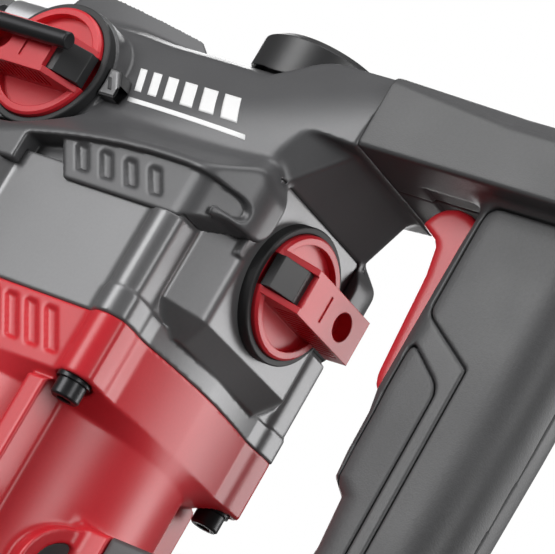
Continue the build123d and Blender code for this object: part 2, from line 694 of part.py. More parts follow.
def wrist_pin():
    """Cross pin in the piston."""
    return rod_z(-13.2, 13.2, WRIST_PIN_R, WRIST_X)


def striker():
    """Free-flying striker with its nose towards the chuck."""
    radius = CYLINDER_R - RUN
    return turned_x([(-73, 0), (-73, radius), (-98, radius), (-99, 12), (-99, 7), (-108, 7), (-108, 0)])


def impact_bolt():
    """Impact bolt between the striker and the tool."""
    return turned_x([(-117.5, 0), (-117.5, 6.4), (-118, 7), (-130, 7), (-131, 9.9), (-137, 9.9), (-138, 7),
                     (-157, 7), (-158, 6), (-158, 0)])


def spindle():
    """Rotating hammer cylinder with a narrower front end."""
    rear = BEVEL_X - 8.6
    tube = turned_x([(rear, CYLINDER_R), (rear, SPINDLE_R), (SPINDLE_STEP, SPINDLE_R),
                     (SPINDLE_STEP, SPINDLE_STEP_R), (SPINDLE_FRONT, SPINDLE_STEP_R), (SPINDLE_FRONT, 10),
                     (-110, 10), (-110, CYLINDER_R)])
    guide = rod_x(-128, -119, 10.2) - rod_x(-129, -118, 7.05)
    for turn in range(4):
        tube -= Rot(90 * turn, 0, 0) * rod_z(5, 20, 1.6, -76, 0)
    return tube + guide


def spindle_bearings():
    """Rear and front bearings of the spindle."""
    rear = rod_x(-71, -63, 23) - rod_x(-72, -62, SPINDLE_R)
    front = rod_x(-142, -134, 19) - rod_x(-143, -133, SPINDLE_STEP_R)
    return [rear, front]


def tool_holder():
    """SDS-plus holder: spigot, ball slots, drive keys and tool bore."""
    body = turned_x([(-144, 0), (-144, 10), (SPINDLE_FRONT, 10), (SPINDLE_FRONT, 13), (-200, 13), (-200, 11),
                     (-227, 11), (-228, 10), (-228, 0)])
    body -= rod_x(-165, -143, 7.05)
    body -= rod_x(-230, -200, SHANK_R)
    body -= rod_x(-201, -164, SHANK_R + 0.4)
    for side in (-1, 1):
        body += box(-199, -166, *sorted((side * 4.1, side * 6)), -1.3, 1.3)
        body -= rod_z(*sorted((side * 4, side * 14)), BALL_R + RUN, BALL_X)
    return body


def locking_balls():
    """Two steel balls that hold the tool shank."""
    return [Pos(BALL_X, 0, side * 8.6) * Sphere(BALL_R) for side in (-1, 1)]


def release_sleeve():
    """Sliding chuck sleeve with finger ridges and a spring pocket."""
    outline = [(-158, 13.05), (-158, 18), (-160, 20), (-190, 20), (-193, 22), (-196, 22), (-197, 20),
               (-197, 13.05)]
    sleeve = turned_x(outline)
    ridges = [Rot(20 * i, 0, 0) * box(-186, -164, -1.2, 1.2, 19, 21) for i in range(18)]
    sleeve = sleeve.fuse(*ridges)
    return sleeve - (rod_x(-182, -157, 17) - rod_x(-183, -156, 13.0))


def sleeve_spring():
    """Coil spring that returns the chuck sleeve."""
    return Pos(-181.2, 0, 0) * Rot(0, 90, 0) * coil(15, 0.7, 26, 6)


def dust_cap():
    """Rubber cap on the nose."""
    return turned_x([(-200.2, 11), (-200.2, 18.5), (-206, 19.5), (-212, 17), (-228, 13.5),
                     (NOSE_TIP, 11.5), (NOSE_TIP, 6), (-228.1, 6), (-228.1, 11)])


# ---------------------------------------------------------------- rotary knobs
def knob_plane(which):
    """Seat plane of a knob: z outward, x towards its button."""
    if which == "mode":
        return Plane(origin=MODE_KNOB, x_dir=(1, 0, 0), z_dir=(0, -1, 0))
    return Plane(origin=(REAR_WALL, 0, REAR_KNOB_Z), x_dir=(0, -1, 0), z_dir=(1, 0, 0))


def knob_body():
    """Round knob with a bowl, a bar grip with serrated sides, and a button pocket."""
    top = KNOB_DISC_H + 0.5 + KNOB_GRIP_H
    disc = rod_z(0.5, 0.5 + KNOB_DISC_H, KNOB_R)
    disc = chamfer(disc.edges().group_by(Axis.Z)[-1], 0.8)
    disc -= rod_z(3.2, 10, KNOB_R - 3)
    ramp = [(-27, 6.4), (-26, top), (10, top), (19, 6), (19, 1), (-19, 1), (-19, 6.4)]
    grip = prism_y(ramp, -KNOB_GRIP_HALF, KNOB_GRIP_HALF)
    for i in range(16):
        for side in (-1, 1):
            tooth = box(-22 + 2 * i, -21 + 2 * i, *sorted((side * 7.7, side * 9)), 5.5, top - 1.5)
            grip -= tooth
    body = disc + grip
    body -= rod_z(top - 6, top + 1, 5, -14)
    body -= box(-2.5, -1.5, -4.75, 4.75, top - 0.6, top + 1)
    body -= box(BUTTON_X0 - 0.2, 22, -BUTTON_HALF - 0.2, BUTTON_HALF + 0.2, 2.2, top + 1)
    return body + rod_z(-8, 1, KNOB_SHAFT_R)


def knob_button():
    """Lock button at the end of the grip."""
    outline = [(BUTTON_X0, 4.8), (BUTTON_X0, 14), (BUTTON_X0 + 3, 14), (BUTTON_X1, 8.6), (BUTTON_X1, 4.8)]
    return prism_y(outline, -BUTTON_HALF, BUTTON_HALF)


def knob_seal():
    """Black ring round the disc."""
    ring = rod_z(0, 4, KNOB_SEAL_R) - rod_z(-1, 5, KNOB_R + RUN)
    return chamfer(ring.edges().group_by(Axis.Z)[-1], 0.4)


def placed(which, shape):
    """A knob piece moved to its seat."""
    return knob_plane(which).location * shape


# ---------------------------------------------------------------- rear handle
def grip_solid(inset=0.0):
    """The hand grip between the two arms, shrunk by an inset for the rubber bed."""
    faces = []
    for z, front, rear, half, corner in GRIP_STATIONS:
        length = rear - front - 2 * inset
        outline = RectangleRounded(length, 2 * (half - inset), corner - inset)
        faces.append((Plane.XY.offset(z) * Pos((front + rear) / 2, 0) * outline).face())
    return loft(faces, ruled=True)


def handle_solid():
    """Both arms and the grip as one outer shape."""
    section = mirrored([(0, ARM_BOTTOM), (-28, ARM_BOTTOM), (-ARM_HALF, ARM_BOTTOM + 2)] + arm_top())
    arm = prism_x(section, ARM_SEAM, 172)
    rounded = prism_y([(70, -5), (70, 40), (150, 40), (163, 33), (172, 19), (172, -5)], -40, 40)
    arm_side = [(HANDLE_SEAM, -138), (122, -138), (130, -130), (160, -130), (167, -140), (163, -160),
                (150, HANDLE_BOTTOM), (HANDLE_SEAM, HANDLE_BOTTOM)]
    lower = prism_y(arm_side, -LOWER_ARM_HALF, LOWER_ARM_HALF)
    return (arm & rounded) + grip_solid() + lower


def pad_outlines():
    """Side outlines (x, z) of the rear and the front rubber areas."""
    rear = [(122, 6), (122, -34), (145.5, -48), (145.5, -124), (200, -124), (200, 6)]
    front = [(100, -66), (124, -46), (139.5, -56), (139.5, -124), (100, -124)]
    return [rear, front]


def grip_pads(side, grip, bed):
    """Rubber areas of one half: the skin of the grip inside the pad outlines."""
    half_space = box(90, 190, *sorted((side * 0.05, side * 30)), -140, 20)
    skin = (grip - bed) & half_space
    pads = []
    for outline in pad_outlines():
        pads.append(skin & prism_y(outline, -30, 30))
    slot = box(90, 134, -TRIGGER_HALF - 0.3, TRIGGER_HALF + 0.3, -63.5, 8)
    if side > 0:
        slot += rod_y(10, 25, 5.05, LOCK_X, LOCK_Z)
    return [pad - slot for pad in pads]


def handle_half(side, whole, pads):
    """One clamshell half, hollow for the switch and the cord."""
    half = whole & box(50, 190, *sorted((0, side * 40)), -190, 50)
    half -= box(ARM_SEAM - 1, 150, -20, 20, 12, 28) - rod_y(-21, 21, 6, *HANDLE_SCREWS[0])
    half -= box(127, 160, -13, 13, -62, 13)
    half -= box(90, 134, -TRIGGER_HALF - 0.3, TRIGGER_HALF + 0.3, -63.5, 8)
    half -= box(138, 152, -6, 6, -140, -60)
    half -= box(50, 152, -6, 6, -160, -146)
    half -= Pos(148, 0, -153) * Rot(0, 125, 0) * Cylinder(8.1, 60)
    for pad in pads:
        half -= pad
    for x, z in HANDLE_SCREWS:
        half -= rod_y(-15, 22, 2.05, x, z)
        half -= rod_y(HANDLE_HEAD_Y, 35, 4.2, x, z)
    if side > 0:
        half -= rod_y(10, 25, 5.05, LOCK_X, LOCK_Z)
    return half


def case_screws():
    """Four equal cross-head screws that join the handle halves from the right."""
    head = rod_y(HANDLE_HEAD_Y, HANDLE_HEAD_Y + 3, 4)
    bottom, top = HANDLE_HEAD_Y + 1.4, HANDLE_HEAD_Y + 4
    cross = box(-2.4, 2.4, bottom, top, -0.5, 0.5) + box(-0.5, 0.5, bottom, top, -2.4, 2.4)
    screw = head - cross + rod_y(-14.5, HANDLE_HEAD_Y, 2)
    return [Pos(x, 0, z) * screw for x, z in HANDLE_SCREWS]


def trigger():
    """Long trigger with a hook at its top."""
    outline = [(95.6, -3.7), (97.5, 0), (100.5, 3.3), (106, 4.8), (113, 3.6), (126, 2), (126, -58),
               (113, -62.4), (109.6, -56.5), (107.6, -30), (105.4, -14), (102, -7.5)]
    body = prism_y(outline, -TRIGGER_HALF, TRIGGER_HALF)
    return body - rod_y(-10, 10, 2.55, *TRIGGER_PIVOT)


def switch_body():
    """Switch behind the trigger."""
    return box(134.5, 152, -11, 11, -48, -6)


def trigger_spring():
    """Return spring between the switch and the trigger."""
    return Pos(126.6, 0, -16) * Rot(0, 90, 0) * coil(4, 0.5, 7.3, 3)


def lock_button():
    """Lock-on button on the right side of the grip."""
    button = rod_y(13.3, 21, 5, LOCK_X, LOCK_Z)
    return chamfer(button.edges().group_by(Axis.Y)[-1], 0.8)


def cord_place():
    """Frame whose +Z points out along the cord."""
    angle = math.radians(CORD_DIP)
    return Plane(origin=(148, 0, -153), x_dir=(0, 1, 0), z_dir=(math.cos(angle), 0, -math.sin(angle)))


def cord_guard():
    """Ribbed bend guard at the bottom of the handle."""
    guard = rod_z(2, 30, 8)
    guard += Pos(0, 0, 45) * Cone(8, 6, 30)
    for i in range(6):
        guard += rod_z(32 + 4.6 * i, 34.6 + 4.6 * i, 8.4 - 0.35 * i)
    return cord_place().location * (guard - rod_z(0, 70, 4.05))


def power_cord():
    """Mains cord, cut short."""
    start = cord_place()
    a = start.from_local_coords(Vector(0, 0, 4))
    b = start.from_local_coords(Vector(0, 0, 62))
    path = Polyline(a, b) + RadiusArc(b, (b.X + 22, 0, b.Z - 26), 48)
    return sweep(Plane(origin=a, z_dir=start.z_dir) * Circle(4), path=path)


# ---------------------------------------------------------------- auxiliary side handle
def grip_frame():
    """Frame on the drilling axis whose +Z points along the side grip."""
    angle = math.radians(GRIP_DROP)
    return Plane(origin=(CLAMP_X, 0, 0), x_dir=(1, 0, 0), z_dir=(0, -math.cos(angle), -math.sin(angle)))


def side_clamp():
    """Clamp band round the barrel with the grip seat and the depth rod lug."""
    band = rod_x(CLAMP_X0, CLAMP_X1, 32) - rod_x(CLAMP_X0 - 1, CLAMP_X1 + 1, BARREL_R + RUN)
    seat = rod_z(28, 46, 14)
    seat = grip_frame().location * (seat & box(-11, 11, -14, 14, 20, 50))
    lug = box(CLAMP_X0, CLAMP_X1, -71, -28, -8, 8)
    body = band + (seat - rod_x(-150, -100, BARREL_R + RUN)) + (lug - rod_x(-150, -100, BARREL_R + RUN))
    body -= rod_x(CLAMP_X0 - 1, CLAMP_X1 + 1, ROD_R + RUN, ROD_Y)
    body -= rod_y(-72, -66.5, 5.05, CLAMP_X, 0)
    body -= grip_frame().location * rod_z(33, 50, 4.05)
    return body


def clamp_bolt():
    """Stud that the side grip screws onto."""
    return grip_frame().location * rod_z(33.2, 105, 4)


def side_grip():
    """Round side grip with finger ridges and end flanges."""
    outline = [(0, 47), (22, 47), (23, 49), (23, 52), (17, 56)]
    for i in range(5):
        z = 62 + 18 * i
        outline += [(17.5, z), (18.5, z + 8), (17.5, z + 14)]
    outline += [(20, 156), (21, 162), (18, 168), (0, 169)]
    return grip_frame().location * (turned_z(outline) - rod_z(40, 106, 4 + RUN))


def depth_rod():
    """Depth stop rod alongside the barrel."""
    front = ROD_REAR - ROD_LENGTH_OVERALL
    rod = rod_x(front, ROD_REAR, ROD_R, ROD_Y)
    return chamfer(rod.edges().group_by(Axis.X)[-1], 0.5)


def rod_lock_button():
    """Button that frees the depth rod."""
    return rod_y(-76, -69.2, 5, CLAMP_X, 0)


# ---------------------------------------------------------------- output
def main():
    """Write every sub-part."""
    upper, lower = armature_windings()
    holders, brushes, caps = brush_group()
    grip = grip_solid()
    bed = grip_solid(PAD_DEPTH)
    whole = handle_solid()
    pads = {side: grip_pads(side, grip, bed) for side in (-1, 1)}
    pieces = {
        "gear_cover": [gear_cover()],
        "gear_housing": [gear_housing()],
        "bearing_bridge": [bearing_bridge()],
        "grease_cap": [grease_cap()],
        "index_block": [index_block()],
        "nose_barrel": [nose_barrel()],
        "motor_housing": [motor_housing()],
        "end_cap": [end_cap()],
        "hex_screws": hex_screws(),
        "hex_washers": hex_washers(),
        "armature_shaft": [armature_shaft()],
        "armature_core": [armature_core()],
        "armature_windings": [upper, lower],
        "commutator": [commutator()],
        "fan": [fan()],
        "stator_core": [stator_core()],
        "field_coils": field_coils(),
        "brush_holders": holders,
        "brushes": brushes,
        "brush_caps": caps,
        "shaft_bearings": shaft_bearings(),
        "crank_gear": [crank_gear()],
        "drive_gear": [drive_gear()],
        "bevel_pinion": [bevel_pinion()],
        "bevel_ring": [bevel_ring()],
        "crankshaft": [crankshaft()],
        "conrod": [conrod()],
        "piston": [piston()],
        "piston_ring": [piston_ring()],
        "wrist_pin": [wrist_pin()],
        "striker": [striker()],
        "impact_bolt": [impact_bolt()],
        "spindle": [spindle()],
        "spindle_bearings": spindle_bearings(),
        "tool_holder": [tool_holder()],
        "locking_balls": locking_balls(),
        "release_sleeve": [release_sleeve()],
        "sleeve_spring": [sleeve_spring()],
        "dust_cap": [dust_cap()],
        "mode_knob": [placed("mode", knob_body())],
        "mode_button": [placed("mode", knob_button())],
        "rear_knob": [placed("rear", knob_body())],
        "rear_button": [placed("rear", knob_button())],
        "knob_seals": [placed("mode", knob_seal()), placed("rear", knob_seal())],
        "handle_left": [handle_half(-1, whole, pads[-1])],
        "handle_right": [handle_half(1, whole, pads[1])],
        "grip_pad_left": pads[-1],
        "grip_pad_right": pads[1],
        "case_screws": case_screws(),
        "trigger": [trigger()],
        "trigger_spring": [trigger_spring()],
        "switch_body": [switch_body()],
        "lock_button": [lock_button()],
        "cord_guard": [cord_guard()],
        "power_cord": [power_cord()],
        "side_clamp": [side_clamp()],
        "clamp_bolt": [clamp_bolt()],
        "side_grip": [side_grip()],
        "depth_rod": [depth_rod()],
        "rod_lock_button": [rod_lock_button()],
    }
    for name, shapes in pieces.items():
        write(name, *shapes)


main()
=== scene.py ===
"""Looks of the rotary hammer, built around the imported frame.

The outer shells, the index block, the trigger and two springs are modelled here and stand in for
their CAD nodes. Printed marks are laid on them. All other CAD nodes keep their meshes and get a
finish. Studio and camera follow.
"""
import json
import math
from dataclasses import dataclass

import bpy
import numpy as np
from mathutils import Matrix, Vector


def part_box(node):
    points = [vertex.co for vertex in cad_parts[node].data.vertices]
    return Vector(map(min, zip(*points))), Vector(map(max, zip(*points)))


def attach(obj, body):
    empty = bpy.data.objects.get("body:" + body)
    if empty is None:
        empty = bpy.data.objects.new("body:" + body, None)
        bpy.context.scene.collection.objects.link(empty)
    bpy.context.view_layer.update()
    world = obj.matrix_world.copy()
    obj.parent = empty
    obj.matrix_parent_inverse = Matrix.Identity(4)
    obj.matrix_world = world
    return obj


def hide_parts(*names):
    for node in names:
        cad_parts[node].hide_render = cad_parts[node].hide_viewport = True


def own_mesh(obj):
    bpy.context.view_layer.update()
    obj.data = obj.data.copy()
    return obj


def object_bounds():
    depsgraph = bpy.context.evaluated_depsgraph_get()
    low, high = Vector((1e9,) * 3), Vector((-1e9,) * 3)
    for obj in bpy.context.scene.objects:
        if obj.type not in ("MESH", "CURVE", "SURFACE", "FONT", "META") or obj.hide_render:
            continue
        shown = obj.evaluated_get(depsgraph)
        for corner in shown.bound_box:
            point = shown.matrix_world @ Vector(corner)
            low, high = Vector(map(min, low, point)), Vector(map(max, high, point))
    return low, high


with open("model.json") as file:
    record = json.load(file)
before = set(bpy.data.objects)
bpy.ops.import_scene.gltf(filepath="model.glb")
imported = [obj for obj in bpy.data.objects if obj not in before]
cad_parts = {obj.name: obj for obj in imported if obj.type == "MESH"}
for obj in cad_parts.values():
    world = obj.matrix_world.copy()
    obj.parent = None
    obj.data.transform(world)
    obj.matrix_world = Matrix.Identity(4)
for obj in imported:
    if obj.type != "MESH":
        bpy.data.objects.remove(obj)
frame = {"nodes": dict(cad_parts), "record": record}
CAD_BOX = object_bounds()

MM = 0.001
AXIS_HEIGHT = 202.0              # of the drilling axis over the frame's origin, the motor's foot

# Camera: azimuth and elevation of the viewpoint, roll and place.
CAMERA_PLACE = (0.74508, -0.85965, -0.11377)
CAMERA_AZIMUTH = 39.0
CAMERA_ELEVATION = -14.3
CAMERA_ROLL = 30.0
CAMERA_LENS = 227.03
SENSOR_WIDTH = 36.0

# Studio: how far the floor lies below the tool, and what the surroundings give.
FLOOR_GAP = 0.0005
FLOOR_SIZE = 8.0
BACKDROP = (1.0, 1.0, 1.0)
AMBIENT = 0.10
FLOOR_BOUNCE = 0.12              # of the light that a white floor would throw up
FLOOR_SHADE = 0.86               # of white, as the camera sees the floor's paint
FLOOR_GLOW = 0.9
GLOW_SHARE = 0.75                # of what the camera sees of the floor
LIGHT_DISTANCE = 1.6             # from the middle of the tool


# ---- shader graph helpers ---------------------------------------------------------------------

def add(tree, kind, settings=None, **inputs):
    """Adds a shader node. Inputs go by socket name, as a value or as another node's output."""
    node = tree.nodes.new(kind)
    for name, value in (settings or {}).items():
        setattr(node, name, value)
    for name, value in inputs.items():
        socket = node.inputs[name.replace("_", " ")]
        if isinstance(value, bpy.types.NodeSocket):
            tree.links.new(value, socket)
        else:
            socket.default_value = value
    return node


def out(node, name=None):
    """One output socket of a node: the named one, or the first."""
    return node.outputs[name] if name else node.outputs[0]


def noise(tree, place, per_metre, detail=2.0, roughness=0.5):
    """A noise value between 0 and 1, with so many cells to the metre."""
    return out(add(tree, "ShaderNodeTexNoise", Vector=place, Scale=per_metre, Detail=detail,
                   Roughness=roughness))


def cells(tree, place, per_metre):
    """The distance to the nearest of scattered points, so many to the metre."""
    node = add(tree, "ShaderNodeTexVoronoi", Vector=place, Scale=per_metre)
    return out(node, "Distance")


def remap(tree, value, low, high, to_low, to_high):
    """Maps low..high to to_low..to_high, held at the ends."""
    node = add(tree, "ShaderNodeMapRange", Value=value)
    node.inputs["From Min"].default_value = low
    node.inputs["From Max"].default_value = high
    node.inputs["To Min"].default_value = to_low
    node.inputs["To Max"].default_value = to_high
    return out(node)


def arithmetic(tree, operation, first, second=0.0):
    """One step of arithmetic on values."""
    node = tree.nodes.new("ShaderNodeMath")
    node.operation = operation
    for socket, value in zip(node.inputs, (first, second)):
        if isinstance(value, bpy.types.NodeSocket):
            tree.links.new(value, socket)
        else:
            socket.default_value = value
    return out(node)


def mix(tree, factor, first, second, blend="MIX"):
    """Mixes two colours."""
    settings = {"blend_type": blend}
    return out(add(tree, "ShaderNodeMixRGB", settings, Fac=factor, Color1=first, Color2=second))


def mix_shaders(tree, factor, first, second):
    """A node that mixes two shader nodes."""
    node = add(tree, "ShaderNodeMixShader", Fac=factor)
    tree.links.new(out(first), node.inputs[1])
    tree.links.new(out(second), node.inputs[2])
    return node


def fresh_tree(owner):
    """The emptied node tree of a material or a world."""
    owner.use_nodes = True
    owner.node_tree.nodes.clear()
    return owner.node_tree


def rgba(colour, lift=1.0):
    """An opaque colour, made lighter or darker by lift."""
    return tuple(min(1.0, channel * lift) for channel in colour) + (1.0,)


def edge_mask(tree, radius):
    """1 along sharp edges and 0 on open faces, and the rounded normal that tells them apart."""
    rounded = out(add(tree, "ShaderNodeBevel", {"samples": 6}, Radius=radius))
    straight = out(add(tree, "ShaderNodeNewGeometry"), "Normal")
    agreement = add(tree, "ShaderNodeVectorMath", {"operation": "DOT_PRODUCT"})
    tree.links.new(rounded, agreement.inputs[0])
    tree.links.new(straight, agreement.inputs[1])
    return remap(tree, out(agreement, "Value"), 0.985, 0.80, 0.0, 1.0), rounded


# ---- finishes ---------------------------------------------------------------------------------

EDGE_RADIUS = 0.5                # of the rounded look of all edges
BROAD_PER_METRE = 28.0           # clouds in the colour and the gloss
FINE_PER_METRE = 900.0


@dataclass
class Finish:
    """What a moulded or machined surface looks like; lengths in millimetres."""
    colour: tuple
    roughness: float
    metallic: float = 0.0
    grain: float = 0.5           # size of the surface grain, and
    depth: float = 0.01          # its depth
    mottle: float = 0.06         # how far the colour varies
    edge: float = 0.35           # how light the painted highlight along the edges is
    coat: float = 0.0
    pattern: str = ""


FINISHES = {
    "shroud_plastic": Finish((0.085, 0.085, 0.088), 0.38, metallic=0.2, grain=0.35, depth=0.006,
                             edge=0.5),
    "housing_metal": Finish((0.16, 0.16, 0.163), 0.34, metallic=0.4, grain=0.45, depth=0.008, edge=0.35),
    "red_plastic": Finish((0.56, 0.020, 0.030), 0.34, grain=0.30, depth=0.005, mottle=0.05, edge=0.35),
    "black_plastic": Finish((0.022, 0.022, 0.023), 0.42, grain=0.30, depth=0.010, edge=0.8),
    "handle_plastic": Finish((0.062, 0.062, 0.064), 0.46, grain=0.55, depth=0.030, mottle=0.12, edge=0.4,
                             pattern="leather"),
    "grip_rubber": Finish((0.060, 0.060, 0.062), 0.50, grain=0.60, depth=0.045, mottle=0.16, edge=0.3,
                          pattern="leather"),
    "black_rubber": Finish((0.018, 0.018, 0.019), 0.60, grain=0.40, depth=0.020, edge=0.6),
    "black_steel": Finish((0.030, 0.030, 0.032), 0.34, metallic=0.6, grain=0.5, depth=0.006, edge=1.2),
    "bright_steel": Finish((0.56, 0.56, 0.57), 0.25, metallic=1.0, grain=0.25, depth=0.003,
                           pattern="brushed"),
    "gear_steel": Finish((0.36, 0.36, 0.37), 0.33, metallic=1.0, grain=0.30, depth=0.004,
                         pattern="brushed"),
    "bearing_steel": Finish((0.62, 0.62, 0.63), 0.14, metallic=1.0, grain=0.20, depth=0.001),
    "barrel_aluminium": Finish((0.42, 0.42, 0.43), 0.42, metallic=0.9, grain=0.8, depth=0.018,
                               mottle=0.10),
    "copper": Finish((0.62, 0.25, 0.11), 0.28, metallic=0.9, grain=0.9, depth=0.09, coat=0.5,
                     pattern="wound"),
    "lamination": Finish((0.24, 0.24, 0.25), 0.40, metallic=0.9, grain=1.0, depth=0.05,
                         pattern="stacked"),
    "carbon": Finish((0.030, 0.030, 0.031), 0.55, grain=0.2, depth=0.015, mottle=0.2),
    "brass": Finish((0.62, 0.42, 0.16), 0.27, metallic=1.0, grain=0.3, depth=0.004, pattern="brushed"),
}


def grain_height(tree, place, finish):
    """The height of the small surface grain, 0 to 1."""
    per_metre = 1.0 / (finish.grain * MM)
    if finish.pattern == "leather":
        soft = arithmetic(tree, "MULTIPLY", noise(tree, place, per_metre * 0.35, detail=3.0), 0.8)
        return arithmetic(tree, "ADD", cells(tree, place, per_metre), soft)
    if finish.pattern == "brushed":
        stretched = add(tree, "ShaderNodeMapping", Vector=place, Scale=(0.08, 1.0, 1.0))
        return noise(tree, out(stretched), per_metre, detail=3.0)
    if finish.pattern in ("wound", "stacked"):
        along = "Z" if finish.pattern == "stacked" else "DIAGONAL"
        settings = {"wave_type": "BANDS", "bands_direction": along}
        return out(add(tree, "ShaderNodeTexWave", settings, Vector=place, Scale=per_metre * 0.32,
                       Distortion=0.4))
    return noise(tree, place, per_metre, detail=2.0)


def surface(name, finish):
    """A procedural material with mottled colour, rounded edges lightened by a painted highlight, uneven
    gloss and grain.
    """
    material = bpy.data.materials.new(name)
    tree = fresh_tree(material)
    place = out(add(tree, "ShaderNodeTexCoord"), "Object")
    broad = noise(tree, place, BROAD_PER_METRE, detail=3.0)
    fine = noise(tree, place, FINE_PER_METRE, detail=2.0)
    edge_highlight_mask, rounded = edge_mask(tree, EDGE_RADIUS * MM)
    cloud = arithmetic(tree, "ADD", arithmetic(tree, "MULTIPLY", broad, 0.6),
                       arithmetic(tree, "MULTIPLY", fine, 0.4))
    tone = remap(tree, cloud, 0.3, 0.7, 0.0, 1.0)
    dark, light = rgba(finish.colour, 1.0 - finish.mottle), rgba(finish.colour, 1.0 + finish.mottle)
    body = mix(tree, tone, dark, light)
    # Painted highlight: every sharp edge is mixed towards a lighter colour, and fine noise breaks up how
    # strong it is.
    edge_highlight_amount = remap(tree, fine, 0.35, 0.65, 0.5 * finish.edge, finish.edge)
    edge_highlight_colour = rgba(finish.colour, 1.6 + finish.edge)
    colour = mix(tree, arithmetic(tree, "MULTIPLY", edge_highlight_mask, edge_highlight_amount), body, edge_highlight_colour)
    gloss = remap(tree, broad, 0.3, 0.7, finish.roughness * 0.90, finish.roughness * 1.12)
    height = grain_height(tree, place, finish)
    bump = add(tree, "ShaderNodeBump", Height=height, Distance=finish.depth * MM, Strength=1.0,
               Normal=rounded)
    shader = add(tree, "ShaderNodeBsdfPrincipled", Base_Color=colour, Metallic=finish.metallic,
                 Roughness=gloss, Normal=out(bump))
    shader.inputs["Coat Weight"].default_value = finish.coat
    add(tree, "ShaderNodeOutputMaterial", Surface=out(shader))
    return material


def dress_nodes():
    """Gives every CAD node the finish of its material slot."""
    materials = {slot: surface(slot, finish) for slot, finish in FINISHES.items()}
    slots = {part["node"]: part["material_slot"] for part in frame["record"]["subparts"]}
    for node, piece in frame["nodes"].items():
        piece.data.materials.clear()
        piece.data.materials.append(materials[slots[node]])
    return materials


# ---- shapes as fields -------------------------------------------------------------------------
# A field gives the signed distance from a surface, in millimetres, negative inside. The arrays
# x, y and z broadcast against each other, so a prism costs no more than its outline. Heights in
# fields count from the drilling axis.

def both(first, second, fillet=0.0):
    """What lies inside both shapes, with the edge between them rounded."""
    if not fillet:
        return np.maximum(first, second)
    near = np.maximum(fillet - np.abs(first - second), 0.0) / fillet
    return np.maximum(first, second) + near * near * (fillet / 4)


def either(first, second, fillet=0.0):
    """What lies inside one shape or the other, with the corner between them filled in."""
    return -both(-first, -second, fillet)


def without(first, second, fillet=0.0):
    """The first shape with the second cut away."""
    return both(first, -second, fillet)


def layer(value, low, high, fillet=0.0):
    """The space where a coordinate lies between low and high."""
    return both(low - value, value - high, fillet)


def disc(u, v, centre, radius):
    """A circle in the plane of u and v."""
    return np.sqrt((u - centre[0]) ** 2 + (v - centre[1]) ** 2) - radius


def slope(u, v, start, end):
    """The half plane to the right of the line from start to end."""
    along, across = end[0] - start[0], end[1] - start[1]
    return ((v - start[1]) * along - (u - start[0]) * across) / math.hypot(across, along)


def convex(u, v, points, fillet=0.0):
    """A convex outline whose points run clockwise."""
    shape = None
    for start, end in zip(points, points[1:] + points[:1]):
        edge = slope(u, v, start, end)
        shape = edge if shape is None else both(shape, edge, fillet)
    return shape


def block(x, y, z, low, high, fillet=0.0):
    """A box between two corners."""
    sides = [layer(value, a, b) for value, a, b in zip((x, y, z), low, high)]
    return both(both(sides[0], sides[1], fillet), sides[2], fillet)


def skin(name, field, low, high, step):
    """Meshes the surface of a field inside a box: one point in each grid cell that it crosses."""
    axes = [np.arange(a, b + step, step, dtype=np.float32) for a, b in zip(low, high)]
    value = np.broadcast_to(field(*np.ix_(*axes)), [len(axis) for axis in axes])
    solid = value < 0
    corners = [(i, j, k) for i in (0, 1) for j in (0, 1) for k in (0, 1)]
    size = [n - 1 for n in solid.shape]
    filled = sum(solid[tuple(slice(a, a + n) for a, n in zip(c, size))].astype(np.int8) for c in corners)
    crossed = (filled > 0) & (filled < 8)
    cell = np.argwhere(crossed)
    number = np.full(crossed.shape, -1, dtype=np.int32)
    number[crossed] = np.arange(len(cell))
    at = {c: value[tuple((cell + c).T)] for c in corners}
    total = np.zeros((len(cell), 3))
    hits = np.zeros(len(cell))
    for start in corners:
        for axis in range(3):
            if start[axis]:
                continue
            end = tuple(1 if i == axis else a for i, a in enumerate(start))
            cut = (at[start] < 0) != (at[end] < 0)
            point = np.tile(np.array(start, float), (int(cut.sum()), 1))
            point[:, axis] = at[start][cut] / (at[start][cut] - at[end][cut])
            total[cut] += point
            hits[cut] += 1
    points = (np.array(low) + step * (cell + total / hits[:, None]) + (0.0, 0.0, AXIS_HEIGHT)) * MM
    quads = np.concatenate([quads_across(solid, number, axis) for axis in range(3)])
    return mesh_piece(name, points, quads)


def quads_across(solid, number, axis):
    """One face round each grid edge along an axis that runs from inside the shape to outside."""
    first, second = [a for a in range(3) if a != axis]
    here = tuple(slice(None, -1) if a == axis else slice(1, -1) for a in range(3))
    ahead = tuple(slice(1, None) if a == axis else slice(1, -1) for a in range(3))
    spots = np.argwhere(solid[here] != solid[ahead])
    spots[:, first] += 1
    spots[:, second] += 1
    ring = []
    for step_first, step_second in ((1, 1), (0, 1), (0, 0), (1, 0)):
        cell = spots.copy()
        cell[:, first] -= step_first
        cell[:, second] -= step_second
        ring.append(number[tuple(cell.T)])
    quads = np.stack(ring, axis=1)
    outward = solid[tuple(spots.T)] != (axis == 1)
    quads[~outward] = quads[~outward][:, ::-1]
    return quads


def in_scene(name, data):
    """A new object of the scene."""
    thing = bpy.data.objects.new(name, data)
    bpy.context.scene.collection.objects.link(thing)
    return thing


def mesh_piece(name, points, quads):
    """A smooth-shaded object from points in metres and four-cornered faces."""
    mesh = bpy.data.meshes.new(name)
    mesh.from_pydata(points.tolist(), [], quads.tolist())
    mesh.polygons.foreach_set("use_smooth", np.ones(len(mesh.polygons), dtype=bool))
    return in_scene(name, mesh)


def stand_in_place(piece, body, slot, *nodes):
    """Puts a detailed piece in the place of CAD nodes, on their body and with their finish."""
    piece.data.materials.append(MATERIALS[slot])
    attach(piece, body)
    if nodes:
        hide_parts(*nodes)


def around(*nodes, margin=3.0):
    """The box round some CAD nodes, a little larger than they are, as the fields count."""
    lows, highs = zip(*(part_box(node) for node in nodes))
    down = (0.0, 0.0, AXIS_HEIGHT)
    low = [min(corner[i] for corner in lows) / MM - margin - down[i] for i in range(3)]
    high = [max(corner[i] for corner in highs) / MM + margin - down[i] for i in range(3)]
    return low, high


